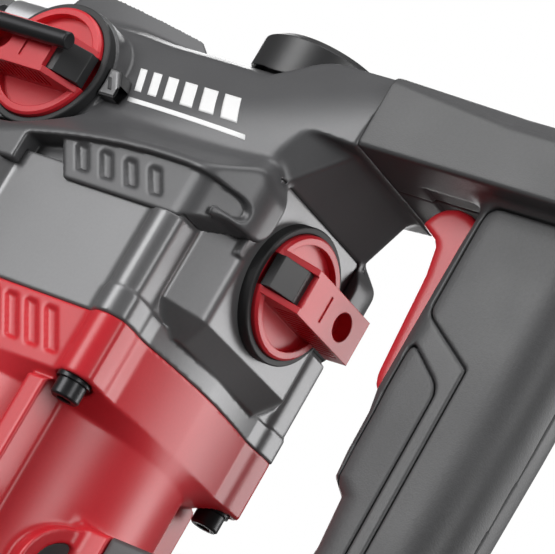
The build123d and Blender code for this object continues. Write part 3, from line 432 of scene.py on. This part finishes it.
# ---- gearbox shroud ---------------------------------------------------------------------------

SIDE_TOP = (30.0, 20.0)          # half width and height of the leaning side at its top
SIDE_FOOT = (42.4, -15.0)        # and where it turns out into the flare
LIP_OUT = 54.5                   # half width of the lip over the side band
BAND_OUT = 51.8                  # and of the band
REAR_WALL = 55.5
ARM_HALF = 30.0                  # half width of the upper arm
ARM_TOP = 34.5
ARM_SEAM = 74.0                  # where the handle meets the shroud
ROOF = 31.5
COVER_FRONT = -72.0
SLOT_LEAN = math.tan(math.radians(34.7))
KNOB_PLACE = (-45.0, -3.4)
KNOB_SEAT = 42.5                 # distance of the raised seat's face from the middle plane
KNOB_SEAT_R = 24.5
KNOB_ROOM_R = 26.0               # nothing but the seat may stand in front of this
CRANK_X = 24.0


def lip_height(x):
    """The lip arches gently over the band."""
    return -23.0 - 5.5 * ((x - 28.0) / 52.0) ** 2


def gearbox_plan(x, s, lean=0.0):
    """Plan of the grey housing's walls, with cut corners; its ends can lean in by some distance."""
    x = np.abs(x)
    corner = both(slope(x, s, (43.7, 40.0), (REAR_WALL, 27.5)), x - REAR_WALL, 1.5) + lean
    return both(either(corner, x - 43.7, 1.0), s - 50.0, 1.5)


def roofs(x, s, z):
    """Crowned roof, with the front hump and the rise to the rear arm."""
    edge = (30.0, 21.2)
    plain = both(slope(s, z, (0.0, ROOF), (13.0, 30.3)), slope(s, z, (13.0, 30.3), edge), 5.0)
    hump = both(slope(s, z, (0.0, 35.0), (10.0, 33.6)), slope(s, z, (10.0, 33.6), edge), 7.0)
    hump = both(hump, slope(x, z, (-38.0, 32.5), (-16.0, 21.0)), 8.0)
    bevel = slope(s, z, (27.0, ARM_TOP), (ARM_HALF, 31.4))
    rise = both(slope(x, z, (27.0, 22.0), (43.0, ARM_TOP)), z - ARM_TOP, 4.0)
    arm = both(both(bevel, rise, 1.0), 20.0 - x)
    return either(either(plain, hump, 3.0), arm, 1.0)


def shroud_flanks(x, s, z):
    """Leaning sides that close in towards the arm, and the tapered tail under it."""
    side = slope(s, z, SIDE_TOP, SIDE_FOOT)
    side = both(side, slope(x, s, (36.0, 36.0), (ARM_SEAM, ARM_HALF)), 4.0)
    flank = 0.61 * (x - 36.6) + 0.77 * (s - 42.5) - 0.18 * (z + 15.3)
    slant = slope(x, z, (68.0, 4.0), (55.3, -12.4))
    tail = either(both(flank, slant, 1.0), 6.2 - z, 2.5)
    return both(side, tail, 1.2)


def skirt(x, s, z):
    """Flare, lip and side band, wrapped round the rear corners."""
    plan = both(s - LIP_OUT, slope(x, s, (45.5, LIP_OUT), (59.5, 37.0)), 4.0)
    plan = both(plan, x - 59.5, 4.0)
    flare = (z + 15.0 - (s - SIDE_FOOT[0]) * (lip_height(x) + 15.0) / (LIP_OUT - SIDE_FOOT[0])) * 0.8
    flare = both(flare, slope(x, z, (55.3, -12.4), (59.8, -19.5)), 4.0)
    foot = -42.0 + 6.0 * np.clip((x - 42.0) / 10.0, 0.0, 1.0)
    shape = both(both(plan, flare, 1.8), foot - z, 1.2)
    ear = either(x - 54.0, both(25.2 - s, -36.0 - z, 9.0), 1.0)
    shape = both(shape, ear, 2.0)
    under_lip = z - (lip_height(x) - 2.2)
    closed = both(both(under_lip, 38.0 - s, 5.0), either(-33.4 - z, x - 50.0), 4.0)
    band = both(closed, -(plan + LIP_OUT - BAND_OUT))
    front_end = -(x + 17.3 + (z + 28.3) * SLOT_LEAN)
    shape = without(shape, both(band, front_end), 0.9)
    pocket = both(both(under_lip, -front_end), both(46.0 - s, -(x + 29.0)), 1.0)
    return without(shape, pocket, 0.6)


def leaning_slots(x, z, first, pitch, count, middle, width, height):
    """A row of slanted slots, seen from the side."""
    slots = None
    for place in range(count):
        across = x - (first + pitch * place) + (z - middle) * SLOT_LEAN
        slot = both(np.abs(across) * 0.82 - width / 2, np.abs(z - middle) - height / 2, 0.8)
        slots = slot if slots is None else np.minimum(slots, slot)
    return slots


def shroud_outside(x, y, z):
    """The outer surface of the upper shroud, with its slots and the knob's seat."""
    s = np.abs(y)
    body = both(both(shroud_flanks(x, s, z), roofs(x, s, z), 1.2), -16.5 - z)
    shape = either(body, skirt(x, s, z), 2.5)
    slots = both(leaning_slots(x, z, -4.8, 10.8, 4, -33.3, 3.9, 8.8), BAND_OUT - 1.3 - s)
    shape = without(shape, slots, 0.4)
    knob = disc(x, z, KNOB_PLACE, KNOB_SEAT_R)
    shape = either(shape, both(both(knob, layer(-y, 30.0, KNOB_SEAT)), z - 26.0), 1.0)
    shape = without(shape, both(disc(x, z, KNOB_PLACE, KNOB_ROOM_R), KNOB_SEAT + y), 0.4)
    return both(shape, layer(x, COVER_FRONT, ARM_SEAM), 0.5)


def shroud(x, y, z):
    """The whole upper shroud, hollow like its CAD solid."""
    return without(shroud_outside(x, y, z), shroud_hollow(x, np.abs(y), z))


def shroud_hollow(x, s, z):
    """Room inside the shroud for the gearbox, the hammer tube and the grey housing."""
    room = both(convex(s, z, [(-9.0, 26.5), (19.0, 24.5), (26.5, 19.0), (38.0, -14.0), (50.2, -33.0),
                              (50.2, -60.0), (-9.0, -60.0)]), layer(x, -56.0, 46.5))
    room = both(room, shroud_flanks(x, s, z) + 2.5)
    wall = both(both(gearbox_plan(x, s) - 0.1, z + 36.0), -60.0 - z)
    rear = block(x, s, z, (46.0, -40.0, -60.0), (REAR_WALL + 0.1, 30.6, -11.9))
    bore = both(disc(s, z, (0.0, 0.0), 23.0), x + 55.0)
    cap = both(disc(x, s, (CRANK_X, 0.0), 19.0), 15.0 - z)
    duct = block(x, s, z, (44.0, -40.0, 12.0), (ARM_SEAM + 1, 20.0, 27.0))
    return np.minimum(np.minimum(np.minimum(room, wall), np.minimum(rear, bore)), np.minimum(cap, duct))


def build_shroud():
    """The dark upper shroud."""
    low, high = around("gear_cover")
    piece = skin("shroud_shell", shroud, low, high, step=0.7)
    stand_in_place(piece, "tool_body", "shroud_plastic", "gear_cover")


# ---- grey gear housing and red motor housing ---------------------------------------------------

FLANGE_TOP = -80.4
FLANGE_BOTTOM = -102.4
CONE_FOOT = -109.0               # the flange's underside slopes in to the motor down to here
MOTOR_R = 48.0
MOTOR_BOTTOM = -180.0
SCREW_X, SCREW_Y = 37.0, 47.0
COLUMN = (38.5, 46.7)            # middle and radius of the corner columns
COLUMN_R = 7.6
FACET = 45.0                     # the columns are cut flat here
RIM = -36.0                      # top of the grey housing
REAR_SHAFT = (0.0, -38.5)        # place of the rear knob's shaft across the wall
SHAFT_HOLE_R = 5.05
LOWER_ARM_TOP = -138.0
LOWER_ARM_BOTTOM = -172.0
LOWER_ARM_HALF = 19.0
LUG_END = 58.0                   # where the lower arm meets the motor housing's lug
BRUSH_ANGLE = -20.0
BRUSH_Z = -158.0
BRUSH_BORE_R = 12.1
VENT_PITCH = 8.85


def column_plan(x, s):
    """Plan of a screw column: round towards the side and flat towards the end."""
    return both(disc(x, s, COLUMN, COLUMN_R), x - FACET, 1.0)


def flange_plan(x, s):
    """Plan of the flange and of the collar on it: flat sides, corner columns and bowed ends."""
    x = np.abs(x)
    sides = both(x - FACET, s - 50.0, 1.5)
    bow = both(slope(x, s, (FACET, 36.3), (47.8, 27.0)), x - 49.0, 8.0)
    return np.minimum(either(sides, column_plan(x, s), 3.0), both(bow, s - 42.0))


def gear_case(x, y, z):
    """Collar, columns, walls that lean in to the collar, and the rear wall that carries a knob."""
    s = np.abs(y)
    collar = both(flange_plan(x, s), layer(z, FLANGE_TOP, -71.5), 0.5)
    lean = np.maximum(-65.0 - z, 0.0) * 0.75
    walls = both(gearbox_plan(x, s, lean), layer(z, -73.6, RIM))
    columns = both(column_plan(np.abs(x), s), layer(z, FLANGE_TOP + 1.0, -42.2))
    shape = either(either(collar, walls), columns, 2.2)
    tower = both(both(layer(x, 47.0, REAR_WALL), s - 30.5), layer(z, RIM - 5.0, -12.0))
    shape = np.minimum(shape, tower)
    room = both(block(x, s, z, (-47.0, -40.0, -76.0), (46.9, 36.0, 10.0)), flange_plan(x, s) + 3.0)
    shape = without(shape, room)
    seat = both(disc(x, s, (0.0, 0.0), 17.0), layer(z, -88.0, -75.0))
    shape = without(np.minimum(shape, seat), both(disc(x, s, (0.0, 0.0), 13.05), z + 79.0))
    return without(shape, both(disc(y, z, REAR_SHAFT, SHAFT_HOLE_R), 40.0 - x))


def motor_case(x, y, z):
    """Flange, its sloping underside, cylinder, ribs, brush bosses, shallow vents and rear lug."""
    s = np.abs(y)
    radius = disc(x, y, (0.0, 0.0), 0.0)
    share = np.clip((z - CONE_FOOT) / (FLANGE_BOTTOM - CONE_FOOT), 0.0, 1.0)
    plan = flange_plan(x, s)
    cone = plan * share + (radius - MOTOR_R) * (1.0 - share)
    spot_face = both(disc(np.abs(x), s, (SCREW_X, SCREW_Y), 6.6), z - FLANGE_BOTTOM)
    cone = without(cone, spot_face, 0.4)
    shape = both(cone, layer(z, MOTOR_BOTTOM, FLANGE_TOP), 0.4)
    rib_top = -106.5 - (s - 50.0) * 0.5
    rib = both(both(layer(np.abs(x), 20.9, 28.9), s - 50.0, 0.8), layer(z, LOWER_ARM_BOTTOM, rib_top))
    shape = either(shape, both(rib, 38.0 - s), 1.0)
    turn = math.radians(BRUSH_ANGLE)
    along = np.abs(x * math.cos(turn) + y * math.sin(turn))
    across = y * math.cos(turn) - x * math.sin(turn)
    boss = disc(across, z, (0.0, BRUSH_Z), 0.0)
    shape = either(shape, both(boss - 17.0, layer(along, 38.0, 51.5), 0.8), 2.0)
    shape = without(shape, both(boss - BRUSH_BORE_R, 40.0 - along), 0.4)
    lug = both(layer(x, 40.0, 90.0), layer(z, LOWER_ARM_BOTTOM, LOWER_ARM_TOP), 6.0)
    lug = both(both(lug, s - LOWER_ARM_HALF, 3.0), x - LUG_END, 0.5)
    shape = either(shape, lug, 3.0)
    vents = both(leaning_slots(x, z, -24.4, VENT_PITCH, 6, -90.6, 4.0, 14.0), 48.9 - s)
    shape = without(shape, vents, 0.4)
    hollow = both(radius - 43.0, z + 107.5)
    bore = both(radius - 40.0, -108.0 - z)
    cable = both(disc(y, z, (0.0, -155.0), 7.0), 40.0 - x)
    return without(shape, np.minimum(np.minimum(hollow, bore), cable))


def build_cases():
    """The two housings on either side of the flange joint."""
    low, high = around("gear_housing")
    piece = skin("gear_case", gear_case, low, high, step=0.65)
    stand_in_place(piece, "tool_body", "housing_metal", "gear_housing")
    low, high = around("motor_housing")
    piece = skin("motor_case", motor_case, low, high, step=0.7)
    stand_in_place(piece, "tool_body", "red_plastic", "motor_housing")


# ---- index block and printed marks -------------------------------------------------------------

INDEX_FACE = 44.5                # distance of the block's face from the middle plane
INDEX_PLACE = (-19.6, -2.7)
INDEX_CUT_R = 23.9               # of the cut that clears the knob's ring
INDEX_MARK = [(-17.4, -5.4), (-15.9, -5.4), (-18.3, -1.2), (-19.8, -1.2)]
PRINT_DEPTH = 0.12               # how far a printed mark stands proud
BAR_WIDTHS = (3.0, 3.8, 4.6, 5.4, 6.2, 7.0)
BAR_GAP = 3.0
BAR_HEIGHTS = (-0.4, 9.2)
BAR_LEAN = 0.58
FIRST_BAR = -13.6
UNDERLINE = [(-12.3, -5.3), (37.8, -5.1), (36.8, -3.3), (-13.3, -3.5)]
PRINT_STEPS = 10                 # a patch is divided this often to follow the surface under it
HALVINGS = 24


def index_outline(x, z):
    """Side outline of the index block, cut round by the knob's ring."""
    height = z - INDEX_PLACE[1]
    across = x - INDEX_PLACE[0] + height * BAR_LEAN
    slab = both(np.abs(across) * 0.86 - 4.9, np.abs(height) - 5.2, 1.2)
    return without(slab, disc(x, z, KNOB_PLACE, INDEX_CUT_R))


def index_block(x, y, z):
    """The black block under the face."""
    slab = both(index_outline(x, z), layer(-y, 33.0, INDEX_FACE - 0.5), 0.6)
    return without(slab, shroud_outside(x, y, z))


def index_face(x, y, z):
    """The grey face on the block."""
    return both(index_outline(x, z) + 0.6, layer(-y, INDEX_FACE - 1.4, INDEX_FACE), 0.4)


def build_index():
    """Index block with a grey face, and one black bar on it."""
    low, high = around("index_block")
    block_piece = skin("index_base", index_block, low, high, step=0.45)
    stand_in_place(block_piece, "tool_body", "black_plastic", "index_block")
    face = skin("index_face", index_face, low, high, step=0.4)
    stand_in_place(face, "tool_body", "housing_metal")
    mark = printed("index_mark", [INDEX_MARK], index_front)
    stand_in_place(mark, "tool_body", "black_plastic")


def side_of_shroud(x, z):
    """Where the shroud's left side lies at places seen from the side, found by halving."""
    inside = np.full(len(x), -20.0)
    outside = np.full(len(x), -60.0)
    for _ in range(HALVINGS):
        middle = (inside + outside) / 2
        solid = shroud_outside(x, middle, z) < 0
        inside = np.where(solid, middle, inside)
        outside = np.where(solid, outside, middle)
    return outside


def index_front(x, _):
    """The plane of the index block's face, the same at all heights."""
    return np.full(len(x), -INDEX_FACE)


def printed(name, patches, surface_at):
    """A thin raised print of four-cornered patches, laid on a surface that faces left."""
    row = PRINT_STEPS + 1
    shares = np.linspace(0, 1, row)
    u, v = (grid.ravel()[:, None] for grid in np.meshgrid(shares, shares))
    cell = np.array([i * row + j for i in range(PRINT_STEPS) for j in range(PRINT_STEPS)])
    quad = np.stack([cell, cell + 1, cell + row + 1, cell + row], axis=1)
    points, quads = [], []
    for corners in patches:
        a, b, c, d = (np.array(corner) for corner in corners)
        flat = (a * (1 - u) + b * u) * (1 - v) + (d * (1 - u) + c * u) * v
        x, z = flat.T
        quads.append(quad + len(points) * row * row)
        points.append(np.stack([x, surface_at(x, z) - PRINT_DEPTH, z + AXIS_HEIGHT], axis=1))
    piece = mesh_piece(name, np.concatenate(points) * MM, np.concatenate(quads))
    thick = piece.modifiers.new("thickness", "SOLIDIFY")
    thick.thickness = 3 * PRINT_DEPTH * MM
    thick.offset = -1.0
    return piece


def build_marks():
    """Slanted white bars over a long white line, on the left side of the shroud."""
    bottom, top = BAR_HEIGHTS
    shift = (top - bottom) * BAR_LEAN
    left = FIRST_BAR
    patches = []
    for width in BAR_WIDTHS:
        right = left + width
        patches.append([(left, bottom), (right, bottom), (right - shift, top), (left - shift, top)])
        left = right + BAR_GAP
    patches.append(UNDERLINE)
    marks = printed("side_stripes", patches, side_of_shroud)
    white = Finish((0.80, 0.80, 0.80), 0.40, mottle=0.02, edge=0.1)
    marks.data.materials.append(surface("white_print", white))
    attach(marks, "tool_body")


# ---- rear handle ------------------------------------------------------------------------------

GRIP_HALF = 18.0
GRIP_TOP = 9.0
GRIP_FOOT = -142.0
PAD_DEPTH = 2.0
PAD_FOOT = -124.0
GAP = 0.25                       # half the open line between a pad and the shell
TRIGGER_SLOT = 9.3               # half width
LOCK_BUTTON = (138.0, -16.0)
LOCK_HOLE_R = 5.1
HANDLE_SCREWS = [(84.0, 20.0), (160.0, 20.0), (133.0, -133.0), (70.0, -165.0)]
HEAD_HOLE_R = 4.3
SCREW_SEAT = 15.0                # distance of the screws' heads from the middle plane
FRONT_HEIGHTS = (GRIP_FOOT, -116.0, -98.5, -93.0, -84.0, -70.0, -62.0, -8.0, GRIP_TOP)
FRONT_EDGE = (121.0, 124.0, 122.5, 116.4, 115.6, 115.4, 113.8, 114.6, 115.5)
REAR_HEIGHTS = (GRIP_FOOT, -118.0, -60.0, GRIP_TOP)
REAR_EDGE = (166.0, 168.0, 170.0, 171.0)
ARM_END = [(150.0, 40.0), (163.0, 33.0), (172.0, 19.0)]


def grip(x, s, z):
    """The hand grip: a rounded bar with a finger rest under the trigger."""
    front = np.interp(z, FRONT_HEIGHTS, FRONT_EDGE) - x
    rear = x - np.interp(z, REAR_HEIGHTS, REAR_EDGE)
    crown = GRIP_HALF - ((x - 143.0) / 27.0) ** 2 * 0.8
    shape = both(both(front, s - crown, 13.0), rear, 17.0)
    return both(shape, layer(z, GRIP_FOOT, GRIP_TOP))


def upper_arm(x, s, z):
    """The arm over the grip, with a bevel that widens towards the rear."""
    bevel = 2.5 + 4.5 * np.clip((x - ARM_SEAM) / 50.0, 0.0, 1.0)
    top = (s + z - ARM_HALF - ARM_TOP + bevel) * 0.707
    section = both(both(both(s - ARM_HALF, z - ARM_TOP), top, 1.5), 7.0 - z, 2.0)
    start, middle, last = ARM_END
    end = both(slope(x, z, start, middle), slope(x, z, middle, last), 6.0)
    end = both(end, x - last[0], 8.0)
    return both(both(section, end, 3.0), ARM_SEAM - x, 0.5)


def lower_arm(x, s, z):
    """The arm that joins the foot of the grip to the motor housing."""
    outline = convex(x, z, [(50.0, LOWER_ARM_TOP), (164.0, LOWER_ARM_TOP), (167.0, GRIP_FOOT),
                            (163.0, -160.0), (150.0, LOWER_ARM_BOTTOM), (50.0, LOWER_ARM_BOTTOM)], 6.0)
    return both(both(outline, LUG_END - x, 0.5), s - LOWER_ARM_HALF, 3.0)


def rear_pad(x, z):
    """Side outline of the rubber over the back of the grip."""
    step = either(both(122.0 - x, slope(x, z, (145.5, -48.5), (122.0, -34.5)), 3.0), 145.5 - x, 1.0)
    return both(both(step, z - 5.0, 6.0), PAD_FOOT - z)


def front_pad(x, z):
    """Side outline of the rubber under the trigger."""
    top = slope(x, z, (124.0, -46.0), (139.5, -57.0))
    return both(both(both(121.8 - x, x - 139.5), top, 4.0), PAD_FOOT - z)


def trigger_room(x, s, z):
    """The slot that the trigger swings in."""
    return block(x, s, z, (90.0, -30.0, -63.5), (134.0, TRIGGER_SLOT, 8.0))


def handle_shell(x, s, z):
    """Both arms and the grip, hollow, with beds for the pads."""
    bar = grip(x, s, z)
    shape = either(either(upper_arm(x, s, z), bar, 5.0), lower_arm(x, s, z), 5.0)
    pads = np.minimum(rear_pad(x, z), front_pad(x, z))
    shape = without(shape, both(pads - GAP, -PAD_DEPTH - bar))
    shape = without(shape, trigger_room(x, s, z), 0.8)
    switch_room = block(x, s, z, (127.0, -30.0, -62.0), (160.0, 13.0, 13.0))
    duct = block(x, s, z, (73.0, -30.0, 12.0), (150.0, 20.0, 28.0))
    cable_room = block(x, s, z, (138.0, -30.0, -140.0), (152.0, 6.0, -60.0))
    return without(shape, np.minimum(np.minimum(switch_room, duct), cable_room))


def pad_skin(x, s, z):
    """The rubber areas, flush with the shell round them."""
    bar = grip(x, s, z)
    area = np.minimum(rear_pad(x, z), front_pad(x, z)) + GAP
    shape = both(both(bar, -PAD_DEPTH + 0.1 - bar), area, 0.5)
    return without(shape, trigger_room(x, s, z))


def right_holes(x, y, z):
    """Holes in the right side, for the lock-on button and the heads of the handle screws."""
    holes = both(disc(x, z, LOCK_BUTTON, LOCK_HOLE_R), 8.0 - y)
    for place in HANDLE_SCREWS:
        holes = np.minimum(holes, both(disc(x, z, place, HEAD_HOLE_R), SCREW_SEAT - y))
    return holes


def one_side(field, side):
    """The half of a shape on one side of the tool."""
    def half(x, y, z):
        return without(both(field(x, np.abs(y), z), 0.05 - side * y), right_holes(x, y, z), 0.4)
    return half


def build_handle():
    """Two handle shells, each with its rubber areas."""
    for name, side in (("left", -1), ("right", 1)):
        low, high = around("handle_" + name, margin=2.0)
        shell = skin("handle_shell_" + name, one_side(handle_shell, side), low, high, step=0.7)
        stand_in_place(shell, "tool_body", "handle_plastic", "handle_" + name)
        low, high = around("grip_pad_" + name, margin=2.0)
        pad = skin("grip_cover_" + name, one_side(pad_skin, side), low, high, step=0.6)
        stand_in_place(pad, "tool_body", "grip_rubber", "grip_pad_" + name)


# ---- trigger ----------------------------------------------------------------------------------

TRIGGER_FOOT = -62.4
TRIGGER_BACK = 126.0
TRIGGER_HEIGHTS = (TRIGGER_FOOT, -59.0, -56.5, -54.0, -20.0, -10.0, -7.5, -5.2, -3.7, 0.0, 3.3, 4.8)
TRIGGER_FRONT = (113.0, 110.2, 109.2, 108.8, 106.4, 104.3, 102.4, 98.2, 95.6, 97.2, 100.3, 106.0)
TRIGGER_TOP_X = (95.6, 97.5, 100.5, 106.0, 111.0, 114.0, TRIGGER_BACK)
TRIGGER_TOP = (-3.0, 0.4, 3.3, 4.8, 4.0, 2.4, 1.0)


def trigger_blade(x, y, z):
    """Long trigger with a hook at its top that keeps the finger off the arm."""
    front = (np.interp(z, TRIGGER_HEIGHTS, TRIGGER_FRONT) - x) * 0.75
    shape = both(front, z - np.interp(x, TRIGGER_TOP_X, TRIGGER_TOP), 1.5)
    shape = both(both(shape, x - TRIGGER_BACK), TRIGGER_FOOT - z)
    return both(shape, np.abs(y) - 9.0, 3.5)


def build_trigger():
    """The red trigger."""
    low, high = around("trigger", margin=2.0)
    piece = skin("trigger_blade", trigger_blade, low, high, step=0.5)
    stand_in_place(piece, "trigger", "red_plastic", "trigger")


# ---- springs ----------------------------------------------------------------------------------

WIRE_SIDES = 8
STEPS_PER_TURN = 24
SLEEVE_COIL = {"start": -181.0, "end": -155.9, "height": 0.0, "radius": 15.0, "wire": 0.7, "turns": 6}
TRIGGER_COIL = {"start": 127.2, "end": 133.9, "height": -16.0, "radius": 4.0, "wire": 0.5, "turns": 3}


def coil(name, start, end, height, radius, wire, turns):
    """A helical spring along X, with closed ends."""
    steps = int(STEPS_PER_TURN * turns)
    share = np.linspace(0.0, 1.0, steps + 1)[:, None]
    turn = share * turns * 2 * math.pi
    side = np.linspace(0.0, 2 * math.pi, WIRE_SIDES, endpoint=False)[None, :]
    out_by = radius + wire * np.cos(side)
    x = start + (end - start) * share + wire * np.sin(side)
    points = np.stack([x, out_by * np.cos(turn), out_by * np.sin(turn) + height + AXIS_HEIGHT], axis=2)
    ring = np.arange(steps)[:, None] * WIRE_SIDES
    corner = np.arange(WIRE_SIDES)[None, :]
    here = ring + corner
    beside = ring + (corner + 1) % WIRE_SIDES
    walls = np.stack([here, beside, beside + WIRE_SIDES, here + WIRE_SIDES], axis=2).reshape(-1, 4)
    first_cap = np.array([(2, 1, 0, 7), (3, 2, 7, 6), (4, 3, 6, 5)])
    last_cap = first_cap[:, ::-1] + steps * WIRE_SIDES
    return mesh_piece(name, points.reshape(-1, 3) * MM, np.concatenate([walls, first_cap, last_cap]))


def build_springs():
    """The chuck sleeve's spring and the trigger's spring, each carried by its body."""
    sleeve = coil("sleeve_coil", **SLEEVE_COIL)
    stand_in_place(sleeve, "spindle", "bright_steel", "sleeve_spring")
    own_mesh(sleeve)
    trigger = coil("trigger_coil", **TRIGGER_COIL)
    stand_in_place(trigger, "tool_body", "bright_steel", "trigger_spring")
    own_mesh(trigger)


# ---- studio -----------------------------------------------------------------------------------

def view_axes(azimuth, elevation):
    """The direction from the object to a viewer at that azimuth and elevation."""
    azimuth, elevation = math.radians(azimuth), math.radians(elevation)
    return Vector((math.sin(azimuth) * math.cos(elevation), -math.cos(azimuth) * math.cos(elevation),
                   math.sin(elevation)))


def make_camera():
    """A long lens below and to the rear left of the tool, rolled so that the tool leans."""
    data = bpy.data.cameras.new("camera")
    data.sensor_width = SENSOR_WIDTH
    data.lens = CAMERA_LENS
    camera = in_scene("camera", data)
    backward = view_axes(CAMERA_AZIMUTH, CAMERA_ELEVATION)
    level = Vector((math.cos(math.radians(CAMERA_AZIMUTH)), math.sin(math.radians(CAMERA_AZIMUTH)), 0.0))
    upright = backward.cross(level)
    roll = math.radians(CAMERA_ROLL)
    right = level * math.cos(roll) + upright * math.sin(roll)
    up = upright * math.cos(roll) - level * math.sin(roll)
    for row in range(3):
        for column, axis in enumerate((right, up, backward)):
            camera.matrix_world[row][column] = axis[row]
    camera.location = CAMERA_PLACE
    bpy.context.scene.camera = camera


def soft_box(name, azimuth, elevation, width, height, power):
    """An area light that faces the middle of the tool."""
    middle = (CAD_BOX[0] + CAD_BOX[1]) / 2
    data = bpy.data.lights.new(name, "AREA")
    data.shape = "RECTANGLE"
    data.size = width
    data.size_y = height
    data.energy = power
    light = in_scene(name, data)
    away = view_axes(azimuth, elevation)
    light.location = middle + away * LIGHT_DISTANCE
    light.rotation_euler = away.to_track_quat("Z", "Y").to_euler()


def make_lights():
    """Four tall soft boxes with dark gaps between them, and a weak top light."""
    soft_box("left", -24.0, 16.0, width=0.8, height=1.3, power=24.0)
    soft_box("rear_left", 68.0, 14.0, width=0.5, height=1.3, power=12.0)
    soft_box("rear_right", 142.0, 14.0, width=0.7, height=1.3, power=16.0)
    soft_box("right_front", 218.0, 18.0, width=0.7, height=1.3, power=16.0)
    soft_box("top", 20.0, 78.0, width=1.2, height=1.2, power=12.0)


def make_surroundings():
    """Seen directly the surroundings are white; what they light with is a softer grey."""
    world = bpy.data.worlds.new("studio")
    bpy.context.scene.world = world
    tree = fresh_tree(world)
    lit = add(tree, "ShaderNodeBackground", Color=rgba(BACKDROP), Strength=AMBIENT)
    seen = add(tree, "ShaderNodeBackground", Color=rgba(BACKDROP), Strength=1.0)
    by_camera = out(add(tree, "ShaderNodeLightPath"), "Is Camera Ray")
    add(tree, "ShaderNodeOutputWorld", Surface=out(mix_shaders(tree, by_camera, lit, seen)))


def floor_paint():
    """Pale paint that lights the tool less than it shows, and that a camera below it sees through."""
    material = bpy.data.materials.new("floor_paint")
    tree = fresh_tree(material)
    by_camera = out(add(tree, "ShaderNodeLightPath"), "Is Camera Ray")
    colour = mix(tree, by_camera, rgba((FLOOR_BOUNCE,) * 3), rgba((FLOOR_SHADE,) * 3))
    paint = add(tree, "ShaderNodeBsdfDiffuse", Color=colour)
    glow = add(tree, "ShaderNodeEmission", Color=rgba(BACKDROP), Strength=FLOOR_GLOW)
    shown = mix_shaders(tree, arithmetic(tree, "MULTIPLY", by_camera, GLOW_SHARE), paint, glow)
    from_below = out(add(tree, "ShaderNodeNewGeometry"), "Backfacing")
    unseen = arithmetic(tree, "MULTIPLY", by_camera, from_below)
    clear = add(tree, "ShaderNodeBsdfTransparent")
    add(tree, "ShaderNodeOutputMaterial", Surface=out(mix_shaders(tree, unseen, shown, clear)))
    return material


def make_floor():
    """A pale floor just below the tool. The photograph's viewpoint lies under it."""
    height = CAD_BOX[0].z - FLOOR_GAP
    half = FLOOR_SIZE / 2
    mesh = bpy.data.meshes.new("floor")
    corners = [(x * half, y * half, height) for x, y in ((-1, -1), (1, -1), (1, 1), (-1, 1))]
    mesh.from_pydata(corners, [], [(0, 1, 2, 3)])
    mesh.materials.append(floor_paint())
    in_scene("floor", mesh)


def make_studio():
    """Floor, surroundings, lights and camera."""
    bpy.context.scene.view_settings.view_transform = "Standard"
    make_floor()
    make_surroundings()
    make_lights()
    make_camera()


MATERIALS = dress_nodes()
build_shroud()
build_cases()
build_index()
build_marks()
build_handle()
build_trigger()
build_springs()
make_studio()
